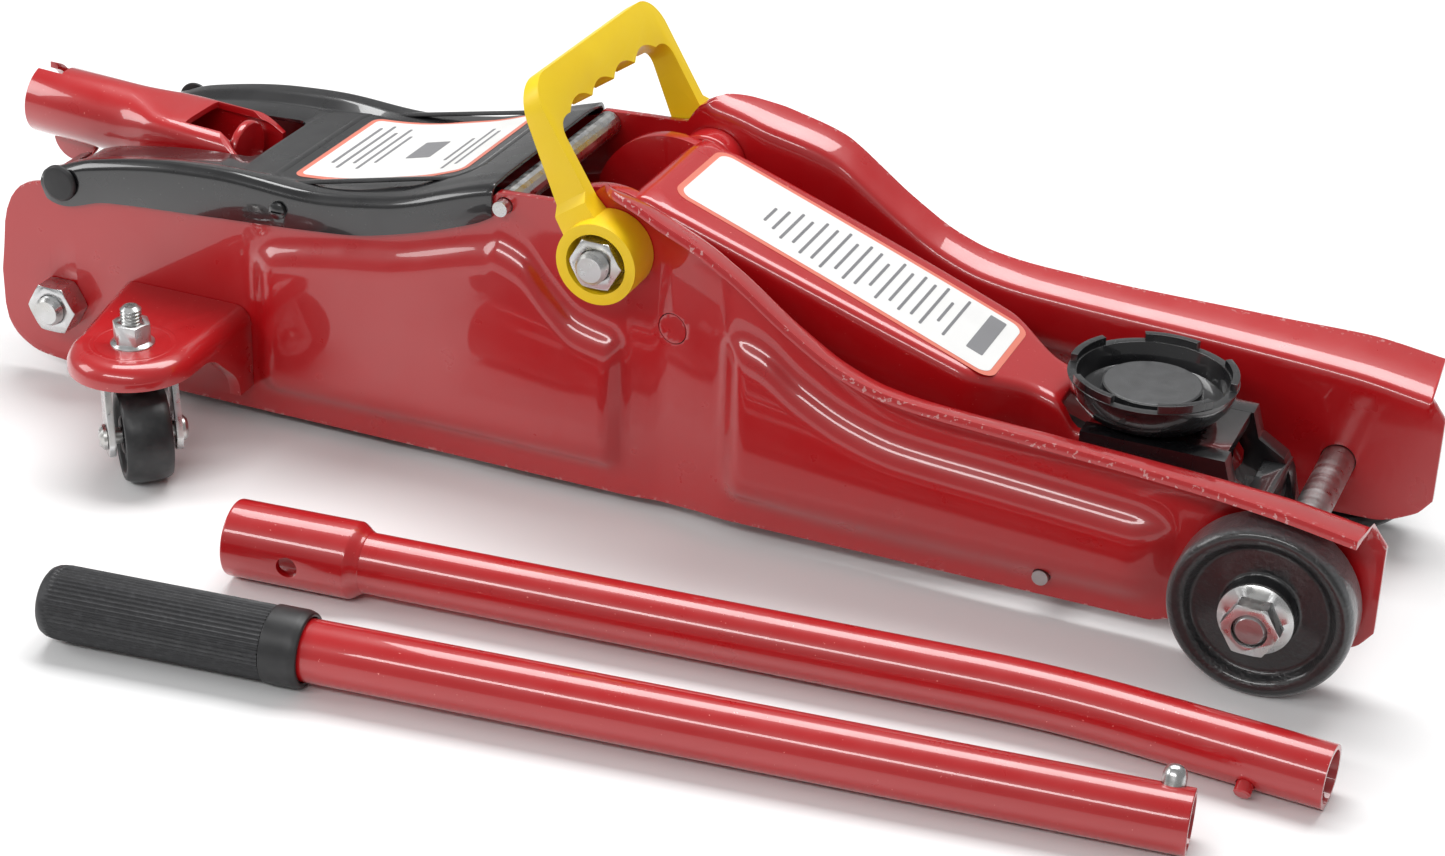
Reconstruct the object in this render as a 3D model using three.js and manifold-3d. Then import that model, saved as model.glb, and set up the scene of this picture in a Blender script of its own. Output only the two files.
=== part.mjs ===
// A low-profile hydraulic trolley jack with its two-piece handle lying beside it.
// Millimetres. X runs forward to the front wheels, Y to the left, Z up.
// Every part below is placed from the point on the ground under the front axle;
// the last lines move the whole jack so that its origin is the middle of its base.

import * as THREE from 'three';
import { mergeVertices } from 'three/addons/utils/BufferGeometryUtils.js';
import Module from 'manifold-3d';

const wasm = await Module();
wasm.setup();

// ---------- driving dimensions ----------

const GAP = 0.3; // clearance between parts that touch
const SMALLEST_DETAIL = 0.05; // finer wrinkles left by a cut are smoothed away
const SHEET = 3; // side plates, arm
const COVER_SHEET = 1.4;
const FRONT_HALF_WIDTH = 53.2; // outer faces of the side plates at the front axle
const REAR_HALF_WIDTH = 47.2; // and from the arm pivot rearward
const REAR_INNER = REAR_HALF_WIDTH - SHEET;
const FRONT_INNER = FRONT_HALF_WIDTH - SHEET;
const PRESSING_DEPTH = 6; // how far the pressed panels stand out

const WHEEL_RADIUS = 32.5;
const WHEEL_MIDDLE_Y = 64.8;
const AXLE_RADIUS = 6.5;

const ARM_PIVOT = { x: -252.9, z: 107.1 };
const ARM_TIP = { x: -38, z: 46 };
const LINK_OFFSET = { x: 24, z: -27 }; // from an arm pin to the matching link pin
const LINK_REAR = { x: ARM_PIVOT.x + LINK_OFFSET.x, z: ARM_PIVOT.z + LINK_OFFSET.z };
const LINK_FRONT = { x: ARM_TIP.x + LINK_OFFSET.x, z: ARM_TIP.z + LINK_OFFSET.z };
const HEEL = { x: -274.1, z: 78.1 }; // where the ram pushes the arm
const HEEL_RADIUS = 8;
const CHEEK = { x: -262.5, z: 90.5, radius: 31.8 }; // round rear end of the arm
const ARM_SHAFT_RADIUS = 8;
const M12_RADIUS = 6;

const REAR_TIE = { x: -494.4, z: 35.1 };
const COVER_BOLT = { x: -490.9, z: 87.6 };
const UPPER_TIE = { x: -297.5, z: 115 };
const LOWER_STOP = { x: -81, z: 18 };
const COVER_SCREW = { x: -392.6, z: 95 };

const SADDLE_X = -61.3;
const SADDLE_RADIUS = 31;

const SOCKET_PIVOT = { x: -444, z: 90 };
const SOCKET_TILT = THREE.MathUtils.degToRad(3.6); // mouth stands this much higher
const SOCKET_OUTER_RADIUS = 14.5;
const SOCKET_WALL = 2.5;
const SOCKET_AXIS_ABOVE_PIVOT = 4;

const RAM_Z = 75;
const RAM_RADIUS = 12;

const CASTER_PIVOT = { x: -431.5, y: 94 };
const CASTER_TRAIL = 14;
const CASTER_RADIUS = 19;
const CASTER_HEADING = THREE.MathUtils.degToRad(-48); // direction the right caster trails in
const SHELF_TOP_Z = 50.4;
const SKIRT_BOTTOM_Z = 41.5;

const HANDLE_TUBE_RADIUS = 11;
const CARRY_LEAN = THREE.MathUtils.degToRad(33.75); // carry handle leans rearward

// shift that puts the origin in the middle of the base
const ORIGIN = { x: -245.44, y: -52.05 };

// ---------- materials ----------

const painted = (color) => new THREE.MeshStandardMaterial({ color, roughness: 0.25, metalness: 0.1 });
const RED = painted(0xb8141c);
const BLACK = painted(0x0c0c0d);
const CAST_BLACK = new THREE.MeshStandardMaterial({ color: 0x131313, roughness: 0.45, metalness: 0.3 });
const ZINC = new THREE.MeshStandardMaterial({ color: 0xc4c8cc, roughness: 0.3, metalness: 1 });
const STEEL = new THREE.MeshStandardMaterial({ color: 0x9a9a98, roughness: 0.4, metalness: 1 });
const CAST_IRON = new THREE.MeshStandardMaterial({ color: 0x4a4c4e, roughness: 0.7, metalness: 0.6 });
const YELLOW = new THREE.MeshStandardMaterial({ color: 0xf2cf16, roughness: 0.45, metalness: 0 });
const GRIP = new THREE.MeshStandardMaterial({ color: 0x26272a, roughness: 0.6, metalness: 0 });

const jack = new THREE.Group();

function add(name, geometry, material, parent = jack) {
  const mesh = new THREE.Mesh(geometry, material);
  mesh.name = name;
  parent.add(mesh);
  return mesh;
}

// ---------- solids ----------

// Merged triangles of a closed shape, facing out, without slivers of no area.
function closedMesh(geometry) {
  const plain = geometry.clone();
  plain.deleteAttribute('normal');
  plain.deleteAttribute('uv');
  const merged = mergeVertices(plain, 1e-4);
  const position = merged.attributes.position.array;
  const corners = [];
  let volume = 0;
  const point = (index) => new THREE.Vector3().fromArray(position, 3 * index);
  for (let i = 0; i < merged.index.count; i += 3) {
    const [a, b, c] = [0, 1, 2].map((k) => merged.index.getX(i + k));
    if (a === b || b === c || c === a) continue;
    corners.push([a, b, c]);
    volume += point(a).dot(point(b).cross(point(c)));
  }
  const facing = volume > 0 ? corners : corners.map(([a, b, c]) => [a, c, b]);
  return { vertProperties: new Float32Array(position), triVerts: new Uint32Array(facing.flat()) };
}

function solidOf(geometry) {
  return new wasm.Manifold(new wasm.Mesh({ numProp: 3, ...closedMesh(geometry) }));
}

function geometryOf({ vertProperties, triVerts }) {
  const geometry = new THREE.BufferGeometry();
  geometry.setAttribute('position', new THREE.BufferAttribute(new Float32Array(vertProperties), 3));
  geometry.setIndex(new THREE.BufferAttribute(new Uint32Array(triVerts), 1));
  return geometry;
}

const closed = (geometry) => carve([geometry]);

// Joins the first list of shapes and cuts the second list out of the result.
function carve(joined, cut = []) {
  let solid = solidOf(joined[0]);
  for (const shape of joined.slice(1)) solid = solid.add(solidOf(shape));
  for (const shape of cut) solid = solid.subtract(solidOf(shape));
  return geometryOf(solid.simplify(SMALLEST_DETAIL).getMesh());
}

function box(low, high) {
  const size = high.map((value, i) => value - low[i]);
  const middle = high.map((value, i) => (value + low[i]) / 2);
  return new THREE.BoxGeometry(...size).translate(...middle);
}

// Round bars along each axis, placed by their two ends.
function barY(radius, from, to, at = { x: 0, z: 0 }, sides = 16) {
  return new THREE.CylinderGeometry(radius, radius, to - from, sides).translate(at.x, (from + to) / 2, at.z);
}

function barX(radius, from, to, y = 0, z = 0, sides = 16) {
  const bar = new THREE.CylinderGeometry(radius, radius, to - from, sides).rotateZ(Math.PI / 2);
  return bar.translate((from + to) / 2, y, z);
}

function barZ(radius, from, to, x = 0, y = 0, sides = 16) {
  const bar = new THREE.CylinderGeometry(radius, radius, to - from, sides).rotateX(Math.PI / 2);
  return bar.translate(x, y, (from + to) / 2);
}

// A shape turned about the Y axis from a closed outline of [radius, y] points.
function turnedY(outline, sides = 24) {
  const points = [...outline, outline[0]].map(([radius, y]) => new THREE.Vector2(radius, y));
  return new THREE.LatheGeometry(points, sides);
}

const turnedZ = (outline, sides) => turnedY(outline, sides).rotateX(Math.PI / 2);

function hexagon(acrossFlats, bore) {
  const shape = new THREE.Shape();
  const cornerRadius = acrossFlats / Math.sqrt(3);
  for (let i = 0; i < 6; i += 1) {
    const angle = (i * Math.PI) / 3;
    const corner = [cornerRadius * Math.cos(angle), cornerRadius * Math.sin(angle)];
    if (i === 0) shape.moveTo(...corner);
    else shape.lineTo(...corner);
  }
  if (bore) shape.holes.push(new THREE.Path().absarc(0, 0, bore, 0, 2 * Math.PI, true));
  return shape;
}

function extrudeZ(shape, from, to, curveSegments = 7) {
  const options = { depth: to - from, bevelEnabled: false, curveSegments };
  return new THREE.ExtrudeGeometry(shape, options).translate(0, 0, from);
}

// A shape drawn in X and Z and given thickness along Y.
function extrudeY(shape, from, to, curveSegments = 7) {
  const options = { depth: to - from, bevelEnabled: false, curveSegments };
  return new THREE.ExtrudeGeometry(shape, options).rotateX(Math.PI / 2).translate(0, to, 0);
}

function nutY(acrossFlats, bore, from, to, at) {
  return extrudeY(hexagon(acrossFlats, bore), from, to, 8).translate(at.x, 0, at.z);
}

function outline(points) {
  return new THREE.Shape(points.map(([x, y]) => new THREE.Vector2(x, y)));
}

// Skin between sections that all have the same even number of points. The first
// half of a section runs along one side, the second half back along the other.
function loft(sections) {
  const count = sections[0].length;
  const position = sections.flat().flatMap((point) => [point.x, point.y, point.z]);
  const index = [];
  const quad = (a, b, c, d) => index.push(a, b, c, a, c, d);
  for (let s = 0; s < sections.length - 1; s += 1) {
    for (let i = 0; i < count; i += 1) {
      const next = (i + 1) % count;
      quad(s * count + i, s * count + next, (s + 1) * count + next, (s + 1) * count + i);
    }
  }
  const last = (sections.length - 1) * count;
  for (let i = 0; i < count / 2 - 1; i += 1) {
    const back = count - 1 - i;
    quad(back, back - 1, i + 1, i);
    quad(last + i, last + i + 1, last + back - 1, last + back);
  }
  const geometry = new THREE.BufferGeometry();
  geometry.setAttribute('position', new THREE.Float32BufferAttribute(position, 3));
  geometry.setIndex(index);
  return geometry;
}

// Section of a bent sheet at one x: the middle line [y, z] given its thickness.
function sheetSection(x, line, thickness) {
  const sides = [[], []];
  line.forEach(([y, z], i) => {
    const before = line[Math.max(i - 1, 0)];
    const after = line[Math.min(i + 1, line.length - 1)];
    const run = Math.hypot(after[0] - before[0], after[1] - before[1]);
    const normal = [(after[1] - before[1]) / run, -(after[0] - before[0]) / run];
    const half = thickness / 2;
    sides[0].push(new THREE.Vector3(x, y + half * normal[0], z + half * normal[1]));
    sides[1].unshift(new THREE.Vector3(x, y - half * normal[0], z - half * normal[1]));
  });
  return [...sides[0], ...sides[1]];
}

// Smooth curve through [x, value] points that never overshoots them.
function smooth(points) {
  const rise = points.slice(1).map((p, i) => (p[1] - points[i][1]) / (p[0] - points[i][0]));
  const slope = points.map((p, i) => {
    if (i === 0) return rise[0];
    if (i === points.length - 1) return rise[i - 1];
    if (rise[i - 1] * rise[i] <= 0) return 0;
    return 2 / (1 / rise[i - 1] + 1 / rise[i]);
  });
  return (x) => {
    if (x <= points[0][0]) return points[0][1];
    if (x >= points.at(-1)[0]) return points.at(-1)[1];
    const i = points.findIndex((p, k) => k > 0 && x <= p[0]) - 1;
    const width = points[i + 1][0] - points[i][0];
    const t = (x - points[i][0]) / width;
    const start = (1 + 2 * t) * (1 - t) ** 2 * points[i][1] + t * (1 - t) ** 2 * width * slope[i];
    const end = t * t * (3 - 2 * t) * points[i + 1][1] - t * t * (1 - t) * width * slope[i + 1];
    return start + end;
  };
}

function steps(from, to, spacing) {
  const count = Math.max(1, Math.round((to - from) / spacing));
  return Array.from({ length: count + 1 }, (_, i) => from + ((to - from) * i) / count);
}

const mirrored = (geometry) => closed(geometry.clone().scale(1, -1, 1));
const SIDES = [['right', -1], ['left', 1]];

// Adds a right-hand and a left-hand copy of a part drawn on the left (+Y) side.
function addPair(name, geometry, material) {
  for (const [side, sign] of SIDES) {
    add(`${name}_${side}`, sign > 0 ? closed(geometry) : mirrored(geometry), material);
  }
}

// ---------- side plates ----------

const coverTop = smooth([
  [-500.4, 90.1], [-479, 98.1], [-438, 104.8], [-416, 105.8], [-382, 104.1], [-347.5, 108.1], [-310, 120.1],
  [-302, 122.4],
]);
const plateTopOpen = smooth([
  [-304, 119.6], [-283, 120.6], [-265, 121.6], [-260.5, 128], [-256, 131.3], [-247, 130], [-229, 124.5],
  [-209, 117.5], [-176, 95], [-159, 85], [-143, 79.5], [-125, 77], [-45, 73], [0, 70], [30, 65.5],
]);
const plateTopRear = smooth([[-523.6, 43], [-522, 53], [-520, 67], [-516, 76.5], [-510, 82.5], [-501, 85]]);
const plateTopFront = smooth([[30, 65.5], [36.5, 57]]);
const plateBottom = smooth([
  [-523.6, 28], [-522.4, 21], [-517, 13.6], [-508, 9.1], [-499, 8], [-473, 6.1], [-250, 6.1], [-205, 9],
  [-42, 9], [-34, 11.2], [15, 11.5], [31, 17.5], [36.5, 24],
]);
const lipWidth = smooth([
  [-258, 0], [-253, 7], [-247, 10.5], [-240, 13], [-230, 15.5], [-217, 15], [-190, 14.5], [-100, 16],
  [-30, 20], [10, 24], [30, 24.5],
]);
const plateMid = smooth([[-234, REAR_HALF_WIDTH - SHEET / 2], [-205, FRONT_HALF_WIDTH - SHEET / 2]]);
const pressingTop = smooth([
  [-407, 77], [-393, 81], [-361, 87], [-319, 98], [-303, 103], [-290, 99], [-278, 86], [-266, 76], [-249, 73],
  [-208, 88], [-192, 84], [-176, 73], [-156, 63], [-137, 58], [-99, 55], [-34, 50],
]);
const pressingDepth = smooth([
  [-407, 0], [-395, PRESSING_DEPTH], [-254, PRESSING_DEPTH], [-248, 0],
  [-208, 0], [-197, PRESSING_DEPTH], [-52, PRESSING_DEPTH], [-34, 0],
]);

function plateTop(x) {
  if (x < -501) return plateTopRear(x);
  if (x < -301.6) return coverTop(x) - 5;
  if (x <= 30) return plateTopOpen(x);
  return plateTopFront(x);
}

function plateLine(x) {
  const bottom = plateBottom(x);
  const top = plateTop(x);
  const height = top - bottom;
  const lip = x < 30.5 ? lipWidth(x) : 0;
  const bend = Math.min(lip / 6, 1); // 0 where the plate is straight, 1 where the lip is formed
  const mid = plateMid(x);
  const out = mid + pressingDepth(x);
  const panelTop = Math.min(pressingTop(x), top - 0.15 * height);
  const lowEdge = Math.min(10, 0.1 * height);
  const lowPanel = Math.min(17, 0.25 * height);
  const line = [
    [mid, bottom],
    [mid, bottom + lowEdge],
    [out, bottom + lowPanel],
    [out, panelTop - 7],
    [mid, panelTop],
  ];
  const bent = [[0, -5], [2.4, -2], [Math.max(lip, 0.5), -1.6 + 0.2 * lip]];
  bent.forEach(([across, up], i) => {
    const straight = -2 + i;
    line.push([mid + bend * across, top + straight + bend * (up - straight)]);
  });
  return line;
}

function sidePlate() {
  const stations = [
    -523.6, -522.1, -517.4, -510, -501.2, ...steps(-479, -407, 24), -395, ...steps(-373, -302, 23), -301.2,
    -290, -278, -265, -260.5, -254, -248, -240, -230, -217, -208, ...steps(-197, -125, 18), -90, -52, -34,
    0, 30, 31, 36.5,
  ];
  const plate = loft(stations.map((x) => sheetSection(x, plateLine(x), SHEET)));
  const holes = [
    [AXLE_RADIUS, { x: 0, z: WHEEL_RADIUS }], [M12_RADIUS, ARM_PIVOT], [M12_RADIUS, REAR_TIE], [4, COVER_BOLT],
    [3, UPPER_TIE], [3, LOWER_STOP], [6, LINK_REAR], [2, COVER_SCREW],
  ];
  const cuts = holes.map(([radius, at]) => barY(radius + GAP, 40, 70, at, 12));
  return carve([plate], cuts);
}

addPair('side_plate', sidePlate(), RED);

// ---------- rear cover ----------

const coverSkirt = smooth([
  [-500.4, 85], [-497.5, 79], [-491, 77.6], [-471, 82.6], [-426, 86], [-382, 89], [-361, 91], [-339, 96],
  [-318, 102.7], [-306, 107.6], [-302, 110.1],
]);
const coverDip = smooth([[-500.4, 2.5], [-421, 4.5], [-400, 2.5], [-330, -0.5], [-302, -0.5]]);
const COVER_SIDE = REAR_HALF_WIDTH + 0.5 + COVER_SHEET / 2;

function coverLine(x) {
  const top = coverTop(x) - COVER_SHEET / 2;
  const middle = top - coverDip(x);
  const half = [
    [COVER_SIDE, coverSkirt(x)], [COVER_SIDE, top - 2.4], [COVER_SIDE - 2.4, top],
    [COVER_SIDE - 8, top - 0.2 * coverDip(x)], [COVER_SIDE - 13, middle],
  ];
  return [...half, ...half.toReversed().map(([y, z]) => [-y, z])];
}

function rearCover() {
  const stations = [-500.4, -497.4, -491, ...steps(-479, -302, 22)];
  const shell = loft(stations.map((x) => sheetSection(x, coverLine(x), COVER_SHEET)));
  const socketWindow = box([-530, -21, 80], [-419, 21, 120]);
  const bolts = barY(4 + GAP, -60, 60, COVER_BOLT);
  const screws = barY(2 + GAP, -60, 60, COVER_SCREW);
  return carve([shell], [socketWindow, bolts, screws]);
}

add('rear_cover', rearCover(), BLACK);

function coverBolt() {
  const head = barY(7.5, COVER_SIDE + COVER_SHEET / 2 + GAP, COVER_SIDE + 4.5, COVER_BOLT);
  return carve([head, barY(4, 40, COVER_SIDE + 3, COVER_BOLT)]);
}

addPair('cover_bolt', coverBolt(), BLACK);

function coverScrew() {
  const head = barY(3.5, COVER_SIDE + COVER_SHEET / 2 + GAP, COVER_SIDE + 3, COVER_SCREW, 12);
  return carve([head, barY(2, 41, COVER_SIDE + 2, COVER_SCREW, 12)]);
}

addPair('cover_screw', coverScrew(), BLACK);

// ---------- cross bars, axle and their nuts ----------

const OUTSIDE = REAR_HALF_WIDTH + GAP;

function steppedBar(at, bodyRadius, bodyHalf, endRadius, endHalf) {
  return carve([barY(bodyRadius, -bodyHalf, bodyHalf, at), barY(endRadius, -endHalf, endHalf, at)]);
}

add('rear_tie_rod', closed(barY(M12_RADIUS, -61, 61, REAR_TIE)), ZINC);
addPair('rear_tie_nut', nutY(19, M12_RADIUS + GAP, OUTSIDE, OUTSIDE + 10, REAR_TIE), ZINC);
add('upper_tie_bar', steppedBar(UPPER_TIE, 5, REAR_INNER - GAP, 3, REAR_HALF_WIDTH + 4.3), ZINC);
add('lower_stop_bar', steppedBar(LOWER_STOP, 4, FRONT_INNER - GAP, 3, FRONT_HALF_WIDTH + 4.3), STEEL);

const FRONT_AXLE = { x: 0, z: WHEEL_RADIUS };
const WHEEL_HALF_WIDTH = 9.5;
const HUB_FACE = WHEEL_MIDDLE_Y + WHEEL_HALF_WIDTH;
add('front_axle', steppedBar(FRONT_AXLE, AXLE_RADIUS, HUB_FACE + GAP, M12_RADIUS, HUB_FACE + 10.5), STEEL);

function flangeNut() {
  const from = HUB_FACE + 2 * GAP;
  const bore = M12_RADIUS + GAP;
  const flange = [[bore, from], [13.3, from], [13.3, from + 1.5], [9, from + 3.2], [bore, from + 3.2]];
  const nut = nutY(18, bore, from + 1, from + 10, { x: 0, z: 0 });
  return carve([nut, turnedY(flange, 16)]).translate(0, 0, WHEEL_RADIUS);
}

addPair('front_axle_nut', flangeNut(), ZINC);

function frontWheel() {
  const bore = AXLE_RADIUS + GAP;
  const half = [
    [bore, WHEEL_HALF_WIDTH], [12.5, WHEEL_HALF_WIDTH], [13.5, 4.5], [24, 4.5], [26.5, 8.3],
    [30, WHEEL_HALF_WIDTH], [WHEEL_RADIUS, 7],
  ];
  const wheel = turnedY([...half, ...half.toReversed().map(([radius, y]) => [radius, -y])], 24);
  return wheel.translate(0, WHEEL_MIDDLE_Y, WHEEL_RADIUS);
}

addPair('front_wheel', frontWheel(), CAST_BLACK);

// ---------- lifting arm ----------

const armTop = smooth([
  [-264, 108], [-258, 117], [-250, 122.6], [-240, 119.4], [-98, 68.9], [-91, 66.2], [-84, 57], [-60, 56.5],
  [-45, 56], [-32, 54], [-28.3, 49],
]);
const armBottom = smooth([
  [-264, 100], [-250, 99], [-240, 86], [-180, 68], [-150, 65], [-98, 49.5], [-60, 38], [-45, 36],
  [-32, 37.5], [-28.3, 43],
]);
const armHalfWidth = smooth([[-264, 31], [-250, 33], [-240, 33.2], [-125, 29.5], [-98, 15.5], [-28, 15.5]]);
const armShoulder = smooth([[-264, 11], [-250, 11], [-236, 3], [-28, 3]]);

function armLine(x) {
  const side = armHalfWidth(x) - SHEET / 2;
  const top = armTop(x) - SHEET / 2;
  const drop = Math.min(armShoulder(x), top - armBottom(x) - 2);
  const half = [
    [side, armBottom(x)], [side, top - drop], [side - 0.9, top - 0.9], [side - armShoulder(x), top],
  ];
  return [...half, ...half.toReversed().map(([y, z]) => [-y, z])];
}

// The round cheek that carries the pivot, with the heel that the ram pushes below it.
function armCheek() {
  const from = 25.4;
  const to = 30.6;
  const disc = barY(CHEEK.radius, from, to, CHEEK, 32);
  const web = outline([[-262, 118], [-215, 109.5], [-215, 82], [-240, 70], [-262, 62]]);
  return carve([disc, extrudeY(web, from, to)]);
}

function liftArm() {
  const stations = [-264, -258, -250, -243, ...steps(-236, -125, 37), -98, -91, -84, -60, -45, -32, -28.3];
  const channel = loft(stations.map((x) => sheetSection(x, armLine(x), SHEET)));
  const cheek = armCheek();
  const tipSlot = box([-91, -12.4, 20], [-20, 12.4, 90]);
  const shaftHole = barY(ARM_SHAFT_RADIUS + GAP, -60, 60, ARM_PIVOT);
  const tipHole = barY(M12_RADIUS + GAP, -60, 60, ARM_TIP);
  return carve([channel, cheek, mirrored(cheek)], [tipSlot, shaftHole, tipHole]);
}

add('lift_arm', liftArm(), RED);
add('arm_heel_roller', closed(barY(HEEL_RADIUS, -25.1, 25.1, HEEL)), STEEL);
add('arm_pivot_shaft', steppedBar(ARM_PIVOT, ARM_SHAFT_RADIUS, REAR_INNER - GAP, M12_RADIUS, 69.5), ZINC);

const bushOutline = [
  [ARM_SHAFT_RADIUS + GAP, 33.8], [13, 33.8], [14, 35], [14, REAR_INNER - GAP],
  [ARM_SHAFT_RADIUS + GAP, REAR_INNER - GAP],
];
addPair('arm_pivot_bush', turnedY(bushOutline, 24).translate(ARM_PIVOT.x, 0, ARM_PIVOT.z), RED);

// ---------- yoke, saddle and levelling links ----------

const YOKE_HALF_WIDTH = 25;
const YOKE_INNER = 16.6;

function saddleYoke() {
  const cheekShape = new THREE.Shape();
  cheekShape.moveTo(-80, 62);
  cheekShape.lineTo(-80, 56);
  cheekShape.lineTo(-50, 35);
  cheekShape.lineTo(-30, 20);
  cheekShape.absarc(LINK_FRONT.x, LINK_FRONT.z, 8, Math.PI, 2 * Math.PI + 0.4, false);
  cheekShape.lineTo(-11, 40);
  cheekShape.lineTo(-14, 46);
  cheekShape.lineTo(-24, 52);
  cheekShape.lineTo(-27, 62);
  const cheek = extrudeY(cheekShape, YOKE_INNER, YOKE_HALF_WIDTH);
  const slab = box([-79, -YOKE_HALF_WIDTH + 1, 57.7], [-28, YOKE_HALF_WIDTH - 1, 61.9]);
  const toe = box([-21, -YOKE_HALF_WIDTH + 1, 28], [-12, YOKE_HALF_WIDTH - 1, 44]);
  const boss = barY(10, YOKE_HALF_WIDTH - 1, YOKE_HALF_WIDTH + 2, ARM_TIP);
  const cuts = [
    barY(M12_RADIUS + GAP, -40, 40, ARM_TIP), barY(4.5 + GAP, -40, 40, LINK_FRONT),
    barZ(8 + GAP, 50, 70, SADDLE_X, 0),
  ];
  return carve([slab, cheek, mirrored(cheek), toe, boss, mirrored(boss)], cuts);
}

add('saddle_yoke', saddleYoke(), BLACK);
add('yoke_pin', closed(barY(M12_RADIUS, -29.5, 29.5, ARM_TIP)), BLACK);

const SADDLE_DISC_TOP = 73.8;
const SADDLE_RIM_TOP = 77;
const SADDLE_LUG_TOP = 80;

function saddle() {
  const bowl = turnedZ([
    [0, 50], [8, 50], [8, 62.3], [20, 62.3], [25, 65], [29.5, 71], [SADDLE_RADIUS, SADDLE_RIM_TOP],
    [27.6, SADDLE_RIM_TOP], [26, 69], [18.8, 68], [18.2, SADDLE_DISC_TOP], [0, SADDLE_DISC_TOP],
  ], 25);
  const lugs = [];
  const lugCount = 5;
  for (let i = 0; i < lugCount; i += 1) {
    const middle = THREE.MathUtils.degToRad(-52 + (i * 360) / lugCount);
    const half = THREE.MathUtils.degToRad(20);
    const lug = new THREE.Shape();
    lug.absarc(0, 0, SADDLE_RADIUS - 0.4, middle - half, middle + half, false);
    lug.absarc(0, 0, SADDLE_RADIUS - 3, middle + half, middle - half, true);
    lugs.push(extrudeZ(lug, SADDLE_RIM_TOP - 1.5, SADDLE_LUG_TOP, 3));
  }
  return carve([bowl, ...lugs]).translate(SADDLE_X, 0, 0);
}

add('saddle', saddle(), BLACK);

const LINK_Y = { rear: 40.5, front: 28.5 };
const LINK_HALF_THICKNESS = 2;

function levellingLink() {
  const slope = (LINK_FRONT.z - LINK_REAR.z) / (LINK_FRONT.x - LINK_REAR.x);
  const bends = [[-226, LINK_Y.rear], [-142, LINK_Y.rear], [-101, LINK_Y.front], [-14, LINK_Y.front]];
  const sideways = smooth(bends);
  const section = (x) => {
    const z = LINK_REAR.z + slope * (x - LINK_REAR.x);
    const y = sideways(x);
    const t = LINK_HALF_THICKNESS;
    const corners = [[y - t, z - 6.5], [y - t, z + 6.5], [y + t, z + 6.5], [y + t, z - 6.5]];
    return corners.map(([across, up]) => new THREE.Vector3(x, across, up));
  };
  const bar = loft([-222, -142, -128, -115, -101, -18].map(section));
  const reach = LINK_HALF_THICKNESS + 0.05;
  const eye = (at, y, radius) => barY(radius, y - reach, y + reach, at);
  const joined = [bar, eye(LINK_REAR, LINK_Y.rear, 9), eye(LINK_FRONT, LINK_Y.front, 8)];
  return carve(joined, [barY(6 + GAP, 30, 60, LINK_REAR), barY(4.5 + GAP, 10, 60, LINK_FRONT)]);
}

addPair('levelling_link', levellingLink(), BLACK);
addPair('link_pivot_pin', barY(6, LINK_Y.rear - 4, FRONT_HALF_WIDTH - 2, LINK_REAR), RED);
add('link_front_pin', closed(barY(4.5, -32.5, 32.5, LINK_FRONT)), STEEL);

// ---------- hydraulic unit ----------

const PLUNGER_X = SOCKET_PIVOT.x - 16;
const VALVE = { x: -478, y: 16, z: 57 };
const CYLINDER = { rear: -395.7, front: -312 };

function pumpBlock() {
  const body = box([VALVE.x, -30, 14], [-396, 30, 70]);
  const tower = box([-419, -28, 60], [-396, 28, 94]);
  const ear = carve([box([-451.4, 19.5, 60], [-436.6, 27, 90]), barY(7.4, 19.5, 27, SOCKET_PIVOT)]);
  const cuts = [
    barY(5 + GAP, -40, 40, SOCKET_PIVOT), barZ(6 + GAP, 42, 80, PLUNGER_X, 0),
    barX(5 + GAP, VALVE.x - 5, VALVE.x + 12, VALVE.y, VALVE.z),
  ];
  return carve([body, tower, ear, mirrored(ear)], cuts);
}

add('pump_block', pumpBlock(), CAST_IRON);

function hydraulicCylinder() {
  const bore = RAM_RADIUS + GAP;
  const profile = [[0, 0], [22, 0], [22, 80], [20, 83.7], [bore, 83.7], [bore, 6], [0, 6]];
  const tube = turnedY(profile.map(([radius, along]) => [radius, -along]), 28);
  return closed(tube.rotateZ(Math.PI / 2).translate(CYLINDER.rear, 0, RAM_Z));
}

add('hydraulic_cylinder', hydraulicCylinder(), CAST_IRON);
add('ram_piston', closed(barX(RAM_RADIUS, -382, HEEL.x - HEEL_RADIUS - 1.3, 0, RAM_Z)), STEEL);

function pumpPlunger() {
  const tip = new THREE.CylinderGeometry(3, 6, 5, 24).rotateX(Math.PI / 2).translate(PLUNGER_X, 0, 80.1);
  return carve([barZ(6, 45, 77.7, PLUNGER_X, 0), tip]);
}

add('pump_plunger', pumpPlunger(), STEEL);

function valveScrew() {
  const head = extrudeZ(hexagon(13), 0, 7).rotateY(-Math.PI / 2).translate(VALVE.x - GAP, VALVE.y, VALVE.z);
  return carve([head, barX(5, VALVE.x - 2, VALVE.x + 10, VALVE.y, VALVE.z)]);
}

add('release_valve_screw', valveScrew(), ZINC);

// ---------- handle socket ----------

// Drawn about its own pivot, with its tube along X, then tilted and put in place.
const socketGroup = new THREE.Group();
socketGroup.position.set(SOCKET_PIVOT.x, 0, SOCKET_PIVOT.z);
socketGroup.rotation.y = SOCKET_TILT;
jack.add(socketGroup);

const SOCKET_MOUTH = -87;
const SOCKET_FRONT = 15;
const FORK_HALF = { y: 18, z: 12 };
const FORK_OPENING_HALF = 12.5;

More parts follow.
